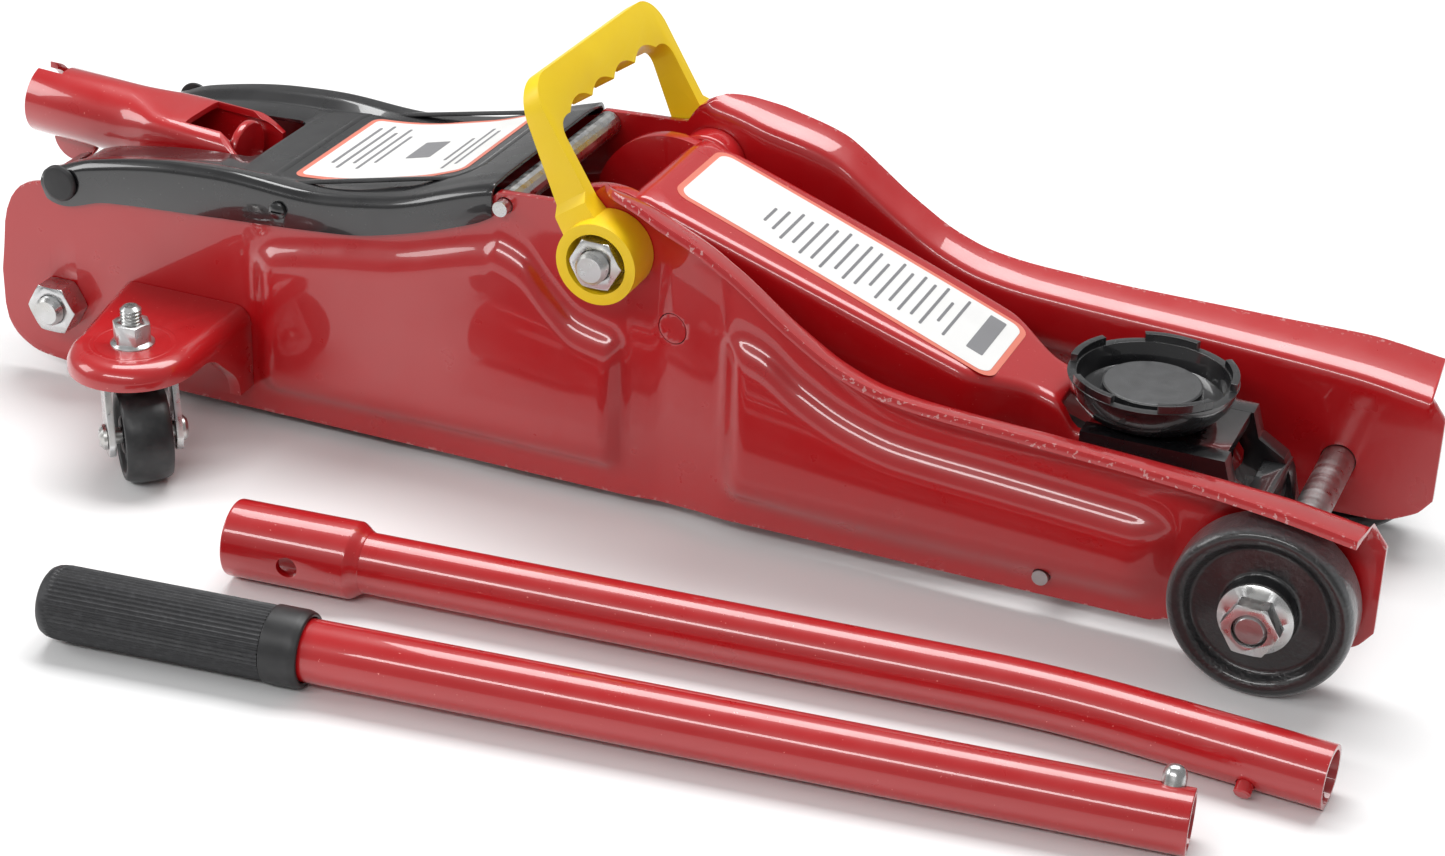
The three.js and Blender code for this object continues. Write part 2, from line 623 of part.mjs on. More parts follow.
// Section that changes from a circle (0) to a rounded rectangle (1).
function tubeSection(x, squareness, inset) {
  const count = 20;
  const rim = (angle) => {
    const radius = SOCKET_OUTER_RADIUS - inset;
    const circle = [radius * Math.cos(angle), radius * Math.sin(angle)];
    const sharp = (value) => Math.sign(value) * Math.abs(value) ** 0.45;
    const wide = (FORK_HALF.y - inset) * sharp(Math.cos(angle));
    const square = [wide, (FORK_HALF.z - inset) * sharp(Math.sin(angle))];
    return circle.map((value, i) => value + squareness * (square[i] - value));
  };
  return Array.from({ length: count }, (_, i) => {
    const [y, z] = rim(((i + 0.5) * 2 * Math.PI) / count + Math.PI / 2);
    return new THREE.Vector3(x, y, z + SOCKET_AXIS_ABOVE_PIVOT);
  });
}

function socketSkin(inset, overrun) {
  const stations = [
    [SOCKET_MOUTH - overrun, 0], [-48, 0], [-40, 0.15], [-30, 0.75], [-22, 1], [SOCKET_FRONT + overrun, 1],
  ];
  return loft(stations.map(([x, squareness]) => tubeSection(x, squareness, inset)));
}

function handleSocket() {
  const tab = carve([barY(10, -1.5, 1.5, { x: -72, z: -10 }, 20)]);
  const pastFront = SOCKET_FRONT + 5;
  const opening = box([-13, -FORK_OPENING_HALF, 4], [pastFront, FORK_OPENING_HALF, 30]);
  const slope = outline([[0, 17.5], [pastFront, 4], [pastFront, 30], [0, 30]]);
  const entry = box([SOCKET_MOUTH - 2, -4.2, 14], [-79, 4.2, 30]);
  const turn = box([-83.5, -4.2, 12], [-76, 11, 30]);
  const cuts = [
    socketSkin(SOCKET_WALL, 3), opening, extrudeY(slope, -30, 30), entry, turn, barY(5 + GAP, -40, 40),
  ];
  return carve([socketSkin(0, 0), tab], cuts);
}

add('handle_socket', handleSocket(), RED, socketGroup);

function socketWeb() {
  const shape = new THREE.Shape();
  const half = FORK_OPENING_HALF - GAP;
  shape.moveTo(-half, 1);
  shape.lineTo(4 - half, -4.7);
  shape.lineTo(half - 4, -4.7);
  shape.lineTo(half, 1);
  shape.lineTo(half, 4);
  shape.absarc(0, 4, half, 0, Math.PI, false);
  return closed(extrudeZ(shape, 0, 3.5, 12).rotateX(Math.PI / 2).rotateZ(Math.PI / 2).translate(5.6, 0, 0));
}

add('socket_web', socketWeb(), RED, socketGroup);
add('socket_pivot_pin', closed(barY(5, -30, 30, SOCKET_PIVOT)), STEEL);

function releaseShaft() {
  const blade = box([-71, -2, -5], [-62, 2, 13]);
  return carve([barX(4, -74, -22, 0, SOCKET_AXIS_ABOVE_PIVOT, 16), blade]);
}

add('release_shaft', releaseShaft(), STEEL, socketGroup);

// ---------- casters ----------

function casterBracket() {
  const { x, y } = CASTER_PIVOT;
  const plan = (radius, wallLeft, wallRight, wallY) => {
    const shape = new THREE.Shape();
    shape.moveTo(wallLeft, wallY);
    shape.lineTo(wallRight, wallY);
    shape.absarc(x, y, radius, 0, Math.PI, false);
    return shape;
  };
  const outer = extrudeZ(plan(25, -467, -408, OUTSIDE), 16.6, SHELF_TOP_Z, 9);
  const hollow = extrudeZ(plan(22, -464, -411, OUTSIDE - 5), 10, SHELF_TOP_Z - SHEET, 9);
  // the skirt is deep beside the plate and shallow at the outer end
  const shallow = outline([
    [OUTSIDE + 10, 10], [130, 10], [130, SKIRT_BOTTOM_Z], [78, SKIRT_BOTTOM_Z], [OUTSIDE + 11, 24],
  ]);
  const under = extrudeZ(shallow, -480, -390).rotateX(Math.PI / 2).rotateZ(Math.PI / 2);
  const recess = barZ(14, SHELF_TOP_Z - 1.5, SHELF_TOP_Z + 5, x, y, 20);
  const stud = barZ(4 + GAP, 30, 60, x, y);
  return carve([outer], [hollow, under, recess, stud]);
}

addPair('caster_bracket', casterBracket(), RED);

const CASTER_AXLE = { x: CASTER_TRAIL, z: CASTER_RADIUS };
const FORK_INNER = 11.4;
const FORK_OUTER = 13.9;
const FORK_TOP = SHELF_TOP_Z - SHEET - GAP - 0.4;

// The swivelling pieces, drawn with the kingpin on the Z axis and trailing along +X.
function casterFork() {
  const crown = box([0, -FORK_OUTER, FORK_TOP - 2.5], [14, FORK_OUTER, FORK_TOP]);
  const head = carve([barZ(14.5, FORK_TOP - 2.5, FORK_TOP), crown]);
  const legShape = new THREE.Shape();
  legShape.moveTo(3, FORK_TOP - 1);
  legShape.lineTo(CASTER_AXLE.x - 8, CASTER_AXLE.z);
  legShape.absarc(CASTER_AXLE.x, CASTER_AXLE.z, 8, Math.PI, 2 * Math.PI, false);
  legShape.lineTo(14, FORK_TOP - 1);
  const leg = extrudeY(legShape, FORK_INNER, FORK_OUTER);
  const stud = barZ(4, FORK_TOP - 2, 65.8, 0, 0, 12);
  return carve([head, leg, mirrored(leg), stud], [barY(3 + GAP, -20, 20, CASTER_AXLE)]);
}

function casterWheel() {
  const half = [[3 + GAP, 8.5], [7, 8.5], [8, 6], [14, 6], [15, 9], [17.5, 9], [CASTER_RADIUS, 4]];
  const wheel = turnedY([...half, ...half.toReversed().map(([radius, y]) => [radius, -y])], 20);
  return closed(wheel.translate(CASTER_AXLE.x, 0, CASTER_AXLE.z));
}

function casterAxle() {
  const rivet = [barY(3, -17, 17, CASTER_AXLE, 16)];
  for (const sign of [-1, 1]) {
    const ends = [sign * (FORK_OUTER + GAP), sign * 17].sort((a, b) => a - b);
    rivet.push(barY(5, ends[0], ends[1], CASTER_AXLE, 16));
  }
  return carve(rivet);
}

function casterNut() {
  const from = SHELF_TOP_Z - 1.5 + GAP;
  const bore = 4 + GAP;
  const rim = [[8.5, from], [8.5, from + 1.6], [7, from + 2.6]];
  const flange = turnedZ([[bore, from], ...rim, [bore, from + 2.6]], 12);
  return carve([extrudeZ(hexagon(13, bore), from + 2, from + 10), flange]);
}

for (const [side, sign] of SIDES) {
  const swivel = new THREE.Group();
  swivel.position.set(CASTER_PIVOT.x, sign * CASTER_PIVOT.y, 0);
  swivel.rotation.z = -sign * CASTER_HEADING;
  jack.add(swivel);
  add(`caster_fork_${side}`, casterFork(), ZINC, swivel);
  add(`caster_wheel_${side}`, casterWheel(), BLACK, swivel);
  add(`caster_axle_${side}`, casterAxle(), ZINC, swivel);
  add(`caster_nut_${side}`, casterNut(), ZINC, swivel);
}

// ---------- carry handle ----------

// Drawn about its pivot with its legs up, then leaned rearward.
const CARRY_TOP = 68.2;
const CARRY_BAR = 18; // height of the grip bar
const CARRY_LEG = { inner: OUTSIDE + 0.2, outer: 53.4 };
const CARRY_FOOT_OUTER = 64;
const CARRY_EYE_RADIUS = 15.6;
const NUT_SEAT = 54.5; // bottom of the recess for the pivot nut

// One side of the bow in Y and Z: the leg steps outward over the plate to its eye.
function carryBow() {
  const { inner, outer } = CARRY_LEG;
  const bow = new THREE.Shape();
  const corner = 13;
  const barBottom = CARRY_TOP - CARRY_BAR;
  bow.moveTo(CARRY_FOOT_OUTER, 0);
  bow.lineTo(CARRY_FOOT_OUTER, 10);
  bow.lineTo(58, 14);
  bow.lineTo(57, 21);
  bow.lineTo(outer, 24);
  bow.lineTo(outer, CARRY_TOP - corner);
  bow.absarc(outer - corner, CARRY_TOP - corner, corner, 0, Math.PI / 2, false);
  bow.absarc(corner - outer, CARRY_TOP - corner, corner, Math.PI / 2, Math.PI, false);
  bow.lineTo(-outer, 24);
  bow.lineTo(-57, 21);
  bow.lineTo(-58, 14);
  bow.lineTo(-CARRY_FOOT_OUTER, 10);
  bow.lineTo(-CARRY_FOOT_OUTER, 0);
  bow.lineTo(-inner, 0);
  bow.lineTo(-inner, barBottom - 6);
  bow.quadraticCurveTo(-inner + 1, barBottom + 1, -inner + 10, barBottom);
  const scallops = 4;
  const scallopWidth = (2 * (inner - 10)) / scallops;
  for (let i = 0; i < scallops; i += 1) {
    const start = -inner + 10 + i * scallopWidth;
    bow.quadraticCurveTo(start + scallopWidth / 2, barBottom + 7, start + scallopWidth, barBottom);
  }
  bow.quadraticCurveTo(inner - 1, barBottom + 1, inner, barBottom - 6);
  bow.lineTo(inner, 0);
  bow.closePath();
  return extrudeZ(bow, -20, 20, 6).rotateX(Math.PI / 2).rotateZ(Math.PI / 2);
}

function carryHandle() {
  const inFront = outline([[9.5, -20], [9.5, 0], [4.7, 20], [7.6, 80], [30, 80], [30, -20]]);
  const behind = outline([[-9.5, -20], [-9.5, 20], [0.8, CARRY_TOP], [1.2, 80], [-30, 80], [-30, -20]]);
  const tapered = carve([carryBow()], [extrudeY(inFront, -90, 90), extrudeY(behind, -90, 90)]);
  const eye = barY(CARRY_EYE_RADIUS, CARRY_LEG.inner, CARRY_FOOT_OUTER, undefined, 24);
  const cuts = [barY(M12_RADIUS + GAP, -80, 80)];
  for (const sign of [-1, 1]) {
    const recess = [sign * NUT_SEAT, sign * 80].sort((a, b) => a - b);
    cuts.push(barY(11.6, recess[0], recess[1]));
  }
  return carve([tapered, eye, mirrored(eye)], cuts);
}

const carryGroup = new THREE.Group();
carryGroup.position.set(ARM_PIVOT.x, 0, ARM_PIVOT.z);
carryGroup.rotation.y = -CARRY_LEAN;
jack.add(carryGroup);
add('carry_handle', carryHandle(), YELLOW, carryGroup);
addPair('arm_pivot_nut', nutY(18, M12_RADIUS + GAP, NUT_SEAT + GAP, NUT_SEAT + 10.3, ARM_PIVOT), ZINC);

// ---------- loose two-piece handle ----------

// Each half is drawn along +X from its left end, then turned and laid on the ground,
// where it rests on its widest ring and on its far end.
function layDown({ x, y, heading, ring, length }) {
  const drop = Math.asin((ring.radius - HANDLE_TUBE_RADIUS) / (length - ring.at));
  const group = new THREE.Group();
  group.position.set(x, y, ring.radius + ring.at * Math.tan(drop) + 0.05);
  group.rotation.order = 'ZYX';
  group.rotation.z = THREE.MathUtils.degToRad(heading);
  group.rotation.y = drop;
  jack.add(group);
  return group;
}

const LOWER_LENGTH = 394;
const LOWER_BEND_AT = 301;
const LOWER_BEND = THREE.MathUtils.degToRad(-9.1);
const SLEEVE = { length: 48, radius: 14.1 };
const LOWER_PIN_AT = LOWER_LENGTH - 25;
const LOWER_PIN_TILT = THREE.MathUtils.degToRad(34);
const lowerGroup = layDown({
  x: -353.5,
  y: -151.2,
  heading: 5.8,
  ring: { at: SLEEVE.length, radius: SLEEVE.radius },
  length: LOWER_LENGTH,
});

// Sections of the bent tube: straight, a short smooth bend, then straight again.
function bentTube(radius, startX, overrun) {
  const sides = 20;
  const bendHalf = 30;
  const middle = (along) => {
    const past = THREE.MathUtils.clamp((along - LOWER_BEND_AT + bendHalf) / (2 * bendHalf), 0, 1);
    const heading = LOWER_BEND * past;
    const sideways = LOWER_BEND * (bendHalf * past * past + Math.max(along - LOWER_BEND_AT - bendHalf, 0));
    return { x: along, y: sideways, heading };
  };
  const bendStations = steps(LOWER_BEND_AT - bendHalf, LOWER_BEND_AT + bendHalf, 15);
  const stations = [startX - overrun, ...bendStations, LOWER_LENGTH + overrun];
  return loft(stations.map((along) => {
    const { x, y, heading } = middle(along);
    return Array.from({ length: sides }, (_, i) => {
      const angle = ((i + 0.5) * 2 * Math.PI) / sides;
      const across = radius * Math.cos(angle);
      const up = radius * Math.sin(angle);
      return new THREE.Vector3(x - across * Math.sin(heading), y + across * Math.cos(heading), up);
    });
  }));
}

// The cross pin that stands out near the far end, towards the right and down.
function lowerPin(clearance) {
  const pin = barY(3 + clearance, -14.8, -HANDLE_TUBE_RADIUS + 2.2 + clearance, undefined, 12);
  const sideways = LOWER_BEND * (LOWER_PIN_AT - LOWER_BEND_AT);
  return pin.rotateX(LOWER_PIN_TILT).rotateZ(LOWER_BEND).translate(LOWER_PIN_AT, sideways, 0);
}

function lowerTube() {
  const sleeve = barX(SLEEVE.radius, 0, SLEEVE.length, 0, 0, 20);
  const cone = new THREE.CylinderGeometry(HANDLE_TUBE_RADIUS + 0.4, SLEEVE.radius, 4, 20);
  const neck = cone.rotateZ(-Math.PI / 2).translate(SLEEVE.length + 2, 0, 0);
  const cuts = [
    barX(11.5, -2, SLEEVE.length - 4, 0, 0, 20), bentTube(HANDLE_TUBE_RADIUS - 1.8, SLEEVE.length - 10, 4),
    barY(4, -20, 0, { x: 26, z: 0 }, 12), lowerPin(GAP),
  ];
  return carve([sleeve, neck, bentTube(HANDLE_TUBE_RADIUS, SLEEVE.length - 6, 0)], cuts);
}

add('lower_handle_tube', lowerTube(), RED, lowerGroup);
add('lower_handle_pin', closed(lowerPin(0)), RED, lowerGroup);

const UPPER_LENGTH = 397;
const GRIP_END = 83.7;
const COLLAR_END = 97.5;
const COLLAR_RADIUS = 13.6;
const upperGroup = layDown({
  x: -388.8,
  y: -216.8,
  heading: 6.7,
  ring: { at: COLLAR_END, radius: COLLAR_RADIUS },
  length: UPPER_LENGTH,
});
const BUTTON_X = UPPER_LENGTH - 7.5;
const BUTTON_TILT = THREE.MathUtils.degToRad(-30); // leans to the left

function upperTube() {
  const bore = barX(HANDLE_TUBE_RADIUS - 1.8, 4, UPPER_LENGTH + 5);
  const buttonHole = barZ(4 + GAP, 0, 20, 0, 0, 16).rotateX(BUTTON_TILT).translate(BUTTON_X, 0, 0);
  return carve([barX(HANDLE_TUBE_RADIUS, 3, UPPER_LENGTH, 0, 0, 28)], [bore, buttonHole]);
}

add('upper_handle_tube', upperTube(), RED, upperGroup);

function grip() {
  const bore = HANDLE_TUBE_RADIUS + GAP;
  const profile = [
    [0, 0], [10.5, 0], [12.6, 3], [13.1, 8], [13.1, GRIP_END], [bore, GRIP_END], [bore, 2.7], [0, 2.7],
  ];
  return closed(turnedY(profile.map(([radius, along]) => [radius, -along]), 28).rotateZ(Math.PI / 2));
}

add('upper_handle_grip', grip(), GRIP, upperGroup);

function gripCollar() {
  const bore = HANDLE_TUBE_RADIUS + GAP;
  const from = GRIP_END + GAP;
  const profile = [
    [bore, from], [COLLAR_RADIUS, from], [COLLAR_RADIUS, COLLAR_END - 2], [12.8, COLLAR_END], [bore, COLLAR_END],
  ];
  return closed(turnedY(profile.map(([radius, along]) => [radius, -along]), 28).rotateZ(Math.PI / 2));
}

add('upper_handle_collar', gripCollar(), GRIP, upperGroup);

function springButton() {
  const profile = [[0, 4], [4, 4], [4, 14], [3.4, 15.9], [2, 17.1], [0, 17.5]];
  return closed(turnedZ(profile, 16).rotateX(BUTTON_TILT).translate(BUTTON_X, 0, 0));
}

add('upper_handle_button', springButton(), ZINC, upperGroup);

jack.position.set(-ORIGIN.x, -ORIGIN.y, 0);

export default jack;
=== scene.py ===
import math

import bmesh
import bpy
from mathutils import Matrix, Vector

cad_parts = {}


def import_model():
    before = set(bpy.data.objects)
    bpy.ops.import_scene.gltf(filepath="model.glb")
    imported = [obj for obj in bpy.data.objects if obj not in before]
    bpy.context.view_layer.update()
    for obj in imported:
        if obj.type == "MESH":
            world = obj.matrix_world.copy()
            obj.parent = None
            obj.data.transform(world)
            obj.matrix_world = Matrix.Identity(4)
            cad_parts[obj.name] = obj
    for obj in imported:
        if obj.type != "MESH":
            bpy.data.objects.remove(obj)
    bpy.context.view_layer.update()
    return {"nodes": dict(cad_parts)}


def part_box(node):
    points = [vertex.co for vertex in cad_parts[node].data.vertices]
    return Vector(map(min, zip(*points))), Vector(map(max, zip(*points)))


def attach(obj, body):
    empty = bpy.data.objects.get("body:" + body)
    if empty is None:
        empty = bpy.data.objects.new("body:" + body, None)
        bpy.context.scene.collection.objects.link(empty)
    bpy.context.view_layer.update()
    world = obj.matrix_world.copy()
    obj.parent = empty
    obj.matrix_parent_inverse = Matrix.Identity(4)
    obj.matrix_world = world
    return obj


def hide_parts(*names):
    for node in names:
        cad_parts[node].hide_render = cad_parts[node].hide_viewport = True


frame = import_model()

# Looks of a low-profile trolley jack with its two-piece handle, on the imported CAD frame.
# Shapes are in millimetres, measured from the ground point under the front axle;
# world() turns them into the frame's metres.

MM = 0.001
AXLE_LOW, AXLE_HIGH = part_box("front_axle")
AXLE = (AXLE_LOW + AXLE_HIGH) / 2


def world(point):
    return Vector((AXLE.x + point[0] * MM, AXLE.y + point[1] * MM, point[2] * MM))


def middle_of(node):
    """Middle of a CAD node in the shapes' millimetres."""
    low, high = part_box(node)
    middle = (low + high) / 2
    return Vector(((middle.x - AXLE.x) / MM, (middle.y - AXLE.y) / MM, middle.z / MM))


# ---------- driving dimensions, as in the CAD ----------

GAP = 0.3
SHEET = 3
COVER_SHEET = 1.4
FRONT_HALF_WIDTH = 53.2
REAR_HALF_WIDTH = 47.2
PRESSING_DEPTH = 6
WHEEL_RADIUS = 32.5
M12_RADIUS = 6
ARM_PIVOT = middle_of("arm_pivot_shaft")
ARM_TIP = middle_of("yoke_pin")
LINK_REAR = middle_of("link_pivot_pin_left")
LINK_FRONT = middle_of("link_front_pin")
REAR_TIE = middle_of("rear_tie_rod")
COVER_BOLT = middle_of("cover_bolt_left")
COVER_SCREW = middle_of("cover_screw_left")
UPPER_TIE = middle_of("upper_tie_bar")
LOWER_STOP = middle_of("lower_stop_bar")
SOCKET_PIVOT = middle_of("socket_pivot_pin")
SADDLE = middle_of("saddle")
CHEEK = Vector((-262.5, 0, 90.5))
CHEEK_RADIUS = 31.8
SIDES = (("right", -1), ("left", 1))
ACROSS = 60  # a tool this far to both sides cuts right through the jack


def side_place(sign, at=(0, 0, 0)):
    """Place of a shape drawn for the left side; a sign of -1 makes it the right side's mirror image."""
    return Matrix.Diagonal((1, sign, 1, 1)) @ Matrix.Translation((at[0], 0, at[2]))


# ---------- curves and outlines ----------

def smooth(points):
    """Curve through (x, value) points that never overshoots them."""
    rise = [(b[1] - a[1]) / (b[0] - a[0]) for a, b in zip(points, points[1:])]
    slope = [rise[0]]
    for before, after in zip(rise, rise[1:]):
        slope.append(0 if before * after <= 0 else 2 / (1 / before + 1 / after))
    slope.append(rise[-1])

    def value(x):
        if x <= points[0][0]:
            return points[0][1]
        if x >= points[-1][0]:
            return points[-1][1]
        i = next(k for k in range(1, len(points)) if x <= points[k][0]) - 1
        width = points[i + 1][0] - points[i][0]
        t = (x - points[i][0]) / width
        start = (1 + 2 * t) * (1 - t) ** 2 * points[i][1] + t * (1 - t) ** 2 * width * slope[i]
        end = t * t * (3 - 2 * t) * points[i + 1][1] - t * t * (1 - t) * width * slope[i + 1]
        return start + end

    return value


def steps(start, end, spacing):
    count = max(1, round((end - start) / spacing))
    return [start + (end - start) * i / count for i in range(count + 1)]


def soften(points, reach, closed=False, pieces=4):
    """Rounds the corners of a 2-D line; each corner is eased over at most reach on both sides."""
    result = []
    count = len(points)
    for i, corner in enumerate(points):
        if not closed and i in (0, count - 1):
            result.append(tuple(corner))
            continue
        here = Vector(corner)
        before = Vector(points[i - 1])
        after = Vector(points[(i + 1) % count])
        start = here + (before - here) * min(reach / max((before - here).length, 1e-6), 0.45)
        end = here + (after - here) * min(reach / max((after - here).length, 1e-6), 0.45)
        for k in range(pieces + 1):
            t = k / pieces
            result.append(tuple(start * (1 - t) ** 2 + here * 2 * t * (1 - t) + end * t * t))
    return result


def arc(x, y, radius, start, end, pieces=24):
    """Points of an arc; angles in degrees."""
    angles = [math.radians(start + (end - start) * i / pieces) for i in range(pieces + 1)]
    return [(x + radius * math.cos(a), y + radius * math.sin(a)) for a in angles]


def mirrored(points):
    return [(-y, z) for y, z in reversed(points)]


# ---------- meshes ----------

def solid(name, points, faces, place=Matrix()):
    """A closed mesh with merged points and outward faces."""
    mesh = bpy.data.meshes.new(name)
    mesh.from_pydata([world(place @ Vector(p)) for p in points], [], faces)
    shape = bmesh.new()
    shape.from_mesh(mesh)
    bmesh.ops.remove_doubles(shape, verts=shape.verts, dist=2e-6)
    bmesh.ops.recalc_face_normals(shape, faces=shape.faces)
    shape.to_mesh(mesh)
    shape.free()
    obj = bpy.data.objects.new(name, mesh)
    bpy.context.scene.collection.objects.link(obj)
    return obj


def lathe(name, outline, axis="Y", place=Matrix(), segments=72):
    """A closed (radius, along) outline turned about an axis through place's origin."""
    points = []
    for radius, along in outline:
        for i in range(segments):
            a = 2 * math.pi * i / segments
            across, up = radius * math.cos(a), radius * math.sin(a)
            turned = {"X": (along, across, up), "Y": (across, along, up), "Z": (across, up, along)}
            points.append(turned[axis])
    faces = []
    for j in range(len(outline)):
        a, b = j * segments, ((j + 1) % len(outline)) * segments
        for i in range(segments):
            n = (i + 1) % segments
            faces.append((a + i, a + n, b + n, b + i))
    return solid(name, points, faces, place)


def prism(name, outline, axis, low, high, place=Matrix()):
    """A 2-D outline given thickness: (x, z) along Y, (x, y) along Z or (y, z) along X."""
    def at(u, v, along):
        return {"X": (along, u, v), "Y": (u, along, v), "Z": (u, v, along)}[axis]

    count = len(outline)
    points = [at(u, v, low) for u, v in outline] + [at(u, v, high) for u, v in outline]
    faces = [tuple(range(count)), tuple(reversed(range(count, 2 * count)))]
    faces += [(i, (i + 1) % count, count + (i + 1) % count, count + i) for i in range(count)]
    return solid(name, points, faces, place)


def block(name, low, high, place=Matrix()):
    outline = [(low[0], low[1]), (high[0], low[1]), (high[0], high[1]), (low[0], high[1])]
    return prism(name, outline, "Z", low[2], high[2], place)


def rod(name, radius, low, high, axis="Y", at=(0, 0, 0), place=Matrix(), segments=64):
    outline = [(0, low), (radius, low), (radius, high), (0, high)]
    return lathe(name, outline, axis, place @ Matrix.Translation(at), segments)


def crossbar(name, radius, low, high, at, place=Matrix(), segments=64):
    """A rod along Y through a point's x and z."""
    return rod(name, radius, low, high, at=(at[0], 0, at[2]), place=place, segments=segments)


def loft(name, sections, place=Matrix()):
    """Skin between rings of the same number of points, closed at both ends."""
    count = len(sections[0])
    points = [p for section in sections for p in section]
    faces = []
    for s in range(len(sections) - 1):
        for i in range(count):
            n = (i + 1) % count
            faces.append((s * count + i, s * count + n, (s + 1) * count + n, (s + 1) * count + i))
    last = (len(sections) - 1) * count
    for i in range(count // 2 - 1):
        back = count - 1 - i
        faces.append((back, back - 1, i + 1, i))
        faces.append((last + i, last + i + 1, last + back - 1, last + back))
    if count % 2:
        tip = count // 2
        faces.append((tip + 1, tip, tip - 1))
        faces.append((last + tip - 1, last + tip, last + tip + 1))
    return solid(name, points, faces, place)


def sheet_section(x, line, thickness):
    """Ring around a bent sheet at one x, from its middle line of (y, z) points."""
    outer, inner = [], []
    for i, (y, z) in enumerate(line):
        before = line[max(i - 1, 0)]
        after = line[min(i + 1, len(line) - 1)]
        run = math.hypot(after[0] - before[0], after[1] - before[1])
        ny, nz = (after[1] - before[1]) / run, -(after[0] - before[0]) / run
        outer.append((x, y + thickness / 2 * ny, z + thickness / 2 * nz))
        inner.insert(0, (x, y - thickness / 2 * ny, z - thickness / 2 * nz))
    return outer + inner


def bake(obj):
    """Makes the object's modifiers part of its mesh."""
    graph = bpy.context.evaluated_depsgraph_get()
    mesh = bpy.data.meshes.new_from_object(obj.evaluated_get(graph))
    obj.modifiers.clear()
    obj.data = mesh
    return obj


def combine(target, tools, operation):
    for tool in tools:
        modifier = target.modifiers.new(operation, "BOOLEAN")
        modifier.operation = operation
        modifier.solver = "MANIFOLD"
        modifier.object = tool
    bake(target)
    for tool in tools:
        bpy.data.objects.remove(tool)
    return target


def join(target, *tools):
    return combine(target, tools, "UNION")


def cut(target, *tools):
    return combine(target, tools, "DIFFERENCE")


def keep_inside(target, *tools):
    return combine(target, tools, "INTERSECT")


def piece(obj, material, body, nodes=(), bevel=0.0, angle=32, segments=2):
    """Finishes a mesh as a piece of the object, which rides on a body and stands for its nodes."""
    for polygon in obj.data.polygons:
        polygon.use_smooth = True
    if bevel:
        modifier = obj.modifiers.new("soft edges", "BEVEL")
        modifier.width = bevel * MM
        modifier.segments = segments
        modifier.limit_method = "ANGLE"
        modifier.angle_limit = math.radians(angle)
        modifier.harden_normals = False
        bake(obj)
    obj.data.set_sharp_from_angle(angle=math.radians(angle))
    obj.data.materials.clear()
    obj.data.materials.append(material)
    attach(obj, body)
    if nodes:
        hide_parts(*nodes)
    return obj


# ---------- materials ----------

class Surface:
    """A node material: one shader whose colour, roughness and bump are driven by noise."""

    def __init__(self, name, colour, roughness, metallic=0.0):
        self.material = bpy.data.materials.new(name)
        self.material.use_nodes = True
        self.nodes = self.material.node_tree.nodes
        self.links = self.material.node_tree.links
        self.shader = self.nodes["Principled BSDF"]
        self.shader.inputs["Base Color"].default_value = (*colour, 1)
        self.shader.inputs["Roughness"].default_value = roughness
        self.shader.inputs["Metallic"].default_value = metallic
        self.where = self.nodes.new("ShaderNodeTexCoord").outputs["Object"]
        self.colour = None
        self.base = colour
        self.height = None

    def coat(self, weight, roughness):
        self.shader.inputs["Coat Weight"].default_value = weight
        self.shader.inputs["Coat Roughness"].default_value = roughness
        return self

    def noise(self, scale, detail=4, stretch=(1, 1, 1)):
        mapping = self.nodes.new("ShaderNodeMapping")
        mapping.inputs["Scale"].default_value = stretch
        self.links.new(self.where, mapping.inputs["Vector"])
        texture = self.nodes.new("ShaderNodeTexNoise")
        texture.inputs["Scale"].default_value = scale
        texture.inputs["Detail"].default_value = detail
        self.links.new(mapping.outputs["Vector"], texture.inputs["Vector"])
        return texture.outputs["Fac"]

    def ramp(self, value, low, high, out_low=0.0, out_high=1.0):
        node = self.nodes.new("ShaderNodeMapRange")
        node.inputs["From Min"].default_value = low
        node.inputs["From Max"].default_value = high
        node.inputs["To Min"].default_value = out_low
        node.inputs["To Max"].default_value = out_high
        self.links.new(value, node.inputs["Value"])
        return node.outputs["Result"]

    def math(self, operation, a, b=0.0):
        node = self.nodes.new("ShaderNodeMath")
        node.operation = operation
        for socket, value in zip(node.inputs, (a, b)):
            if isinstance(value, (int, float)):
                socket.default_value = value
            else:
                self.links.new(value, socket)
        return node.outputs[0]

    def tint(self, share, colour):
        """Mixes a colour in where share is 1."""
        node = self.nodes.new("ShaderNodeMix")
        node.data_type = "RGBA"
        if self.colour is None:
            node.inputs["A"].default_value = (*self.base, 1)
        else:
            self.links.new(self.colour, node.inputs["A"])
        node.inputs["B"].default_value = (*colour, 1)
        self.links.new(share, node.inputs["Factor"])
        self.colour = node.outputs["Result"]
        self.links.new(self.colour, self.shader.inputs["Base Color"])
        return self

    def rough(self, value, low, high):
        self.links.new(self.ramp(value, 0.3, 0.7, low, high), self.shader.inputs["Roughness"])
        return self

    def bump(self, value, depth_mm, strength=1.0):
        node = self.nodes.new("ShaderNodeBump")
        node.inputs["Distance"].default_value = depth_mm * MM
        node.inputs["Strength"].default_value = strength
        self.links.new(value, node.inputs["Height"])
        if self.height is not None:
            self.links.new(self.height, node.inputs["Normal"])
        self.height = node.outputs["Normal"]
        self.links.new(self.height, self.shader.inputs["Normal"])
        return self

    def axis(self, name):
        node = self.nodes.new("ShaderNodeSeparateXYZ")
        self.links.new(self.where, node.inputs["Vector"])
        return node.outputs[name]

    def distance(self, centre, axes):
        """Distance in metres from centre, measured along two axes only."""
        middle = world(centre)
        squares = []
        for name in axes:
            away = self.math("SUBTRACT", self.axis(name), getattr(middle, name.lower()))
            squares.append(self.math("POWER", away, 2.0))
        return self.math("SQRT", self.math("ADD", *squares))

    def edge(self):
        node = self.nodes.new("ShaderNodeAttribute")
        node.attribute_name = "edge"
        return node.outputs["Fac"]


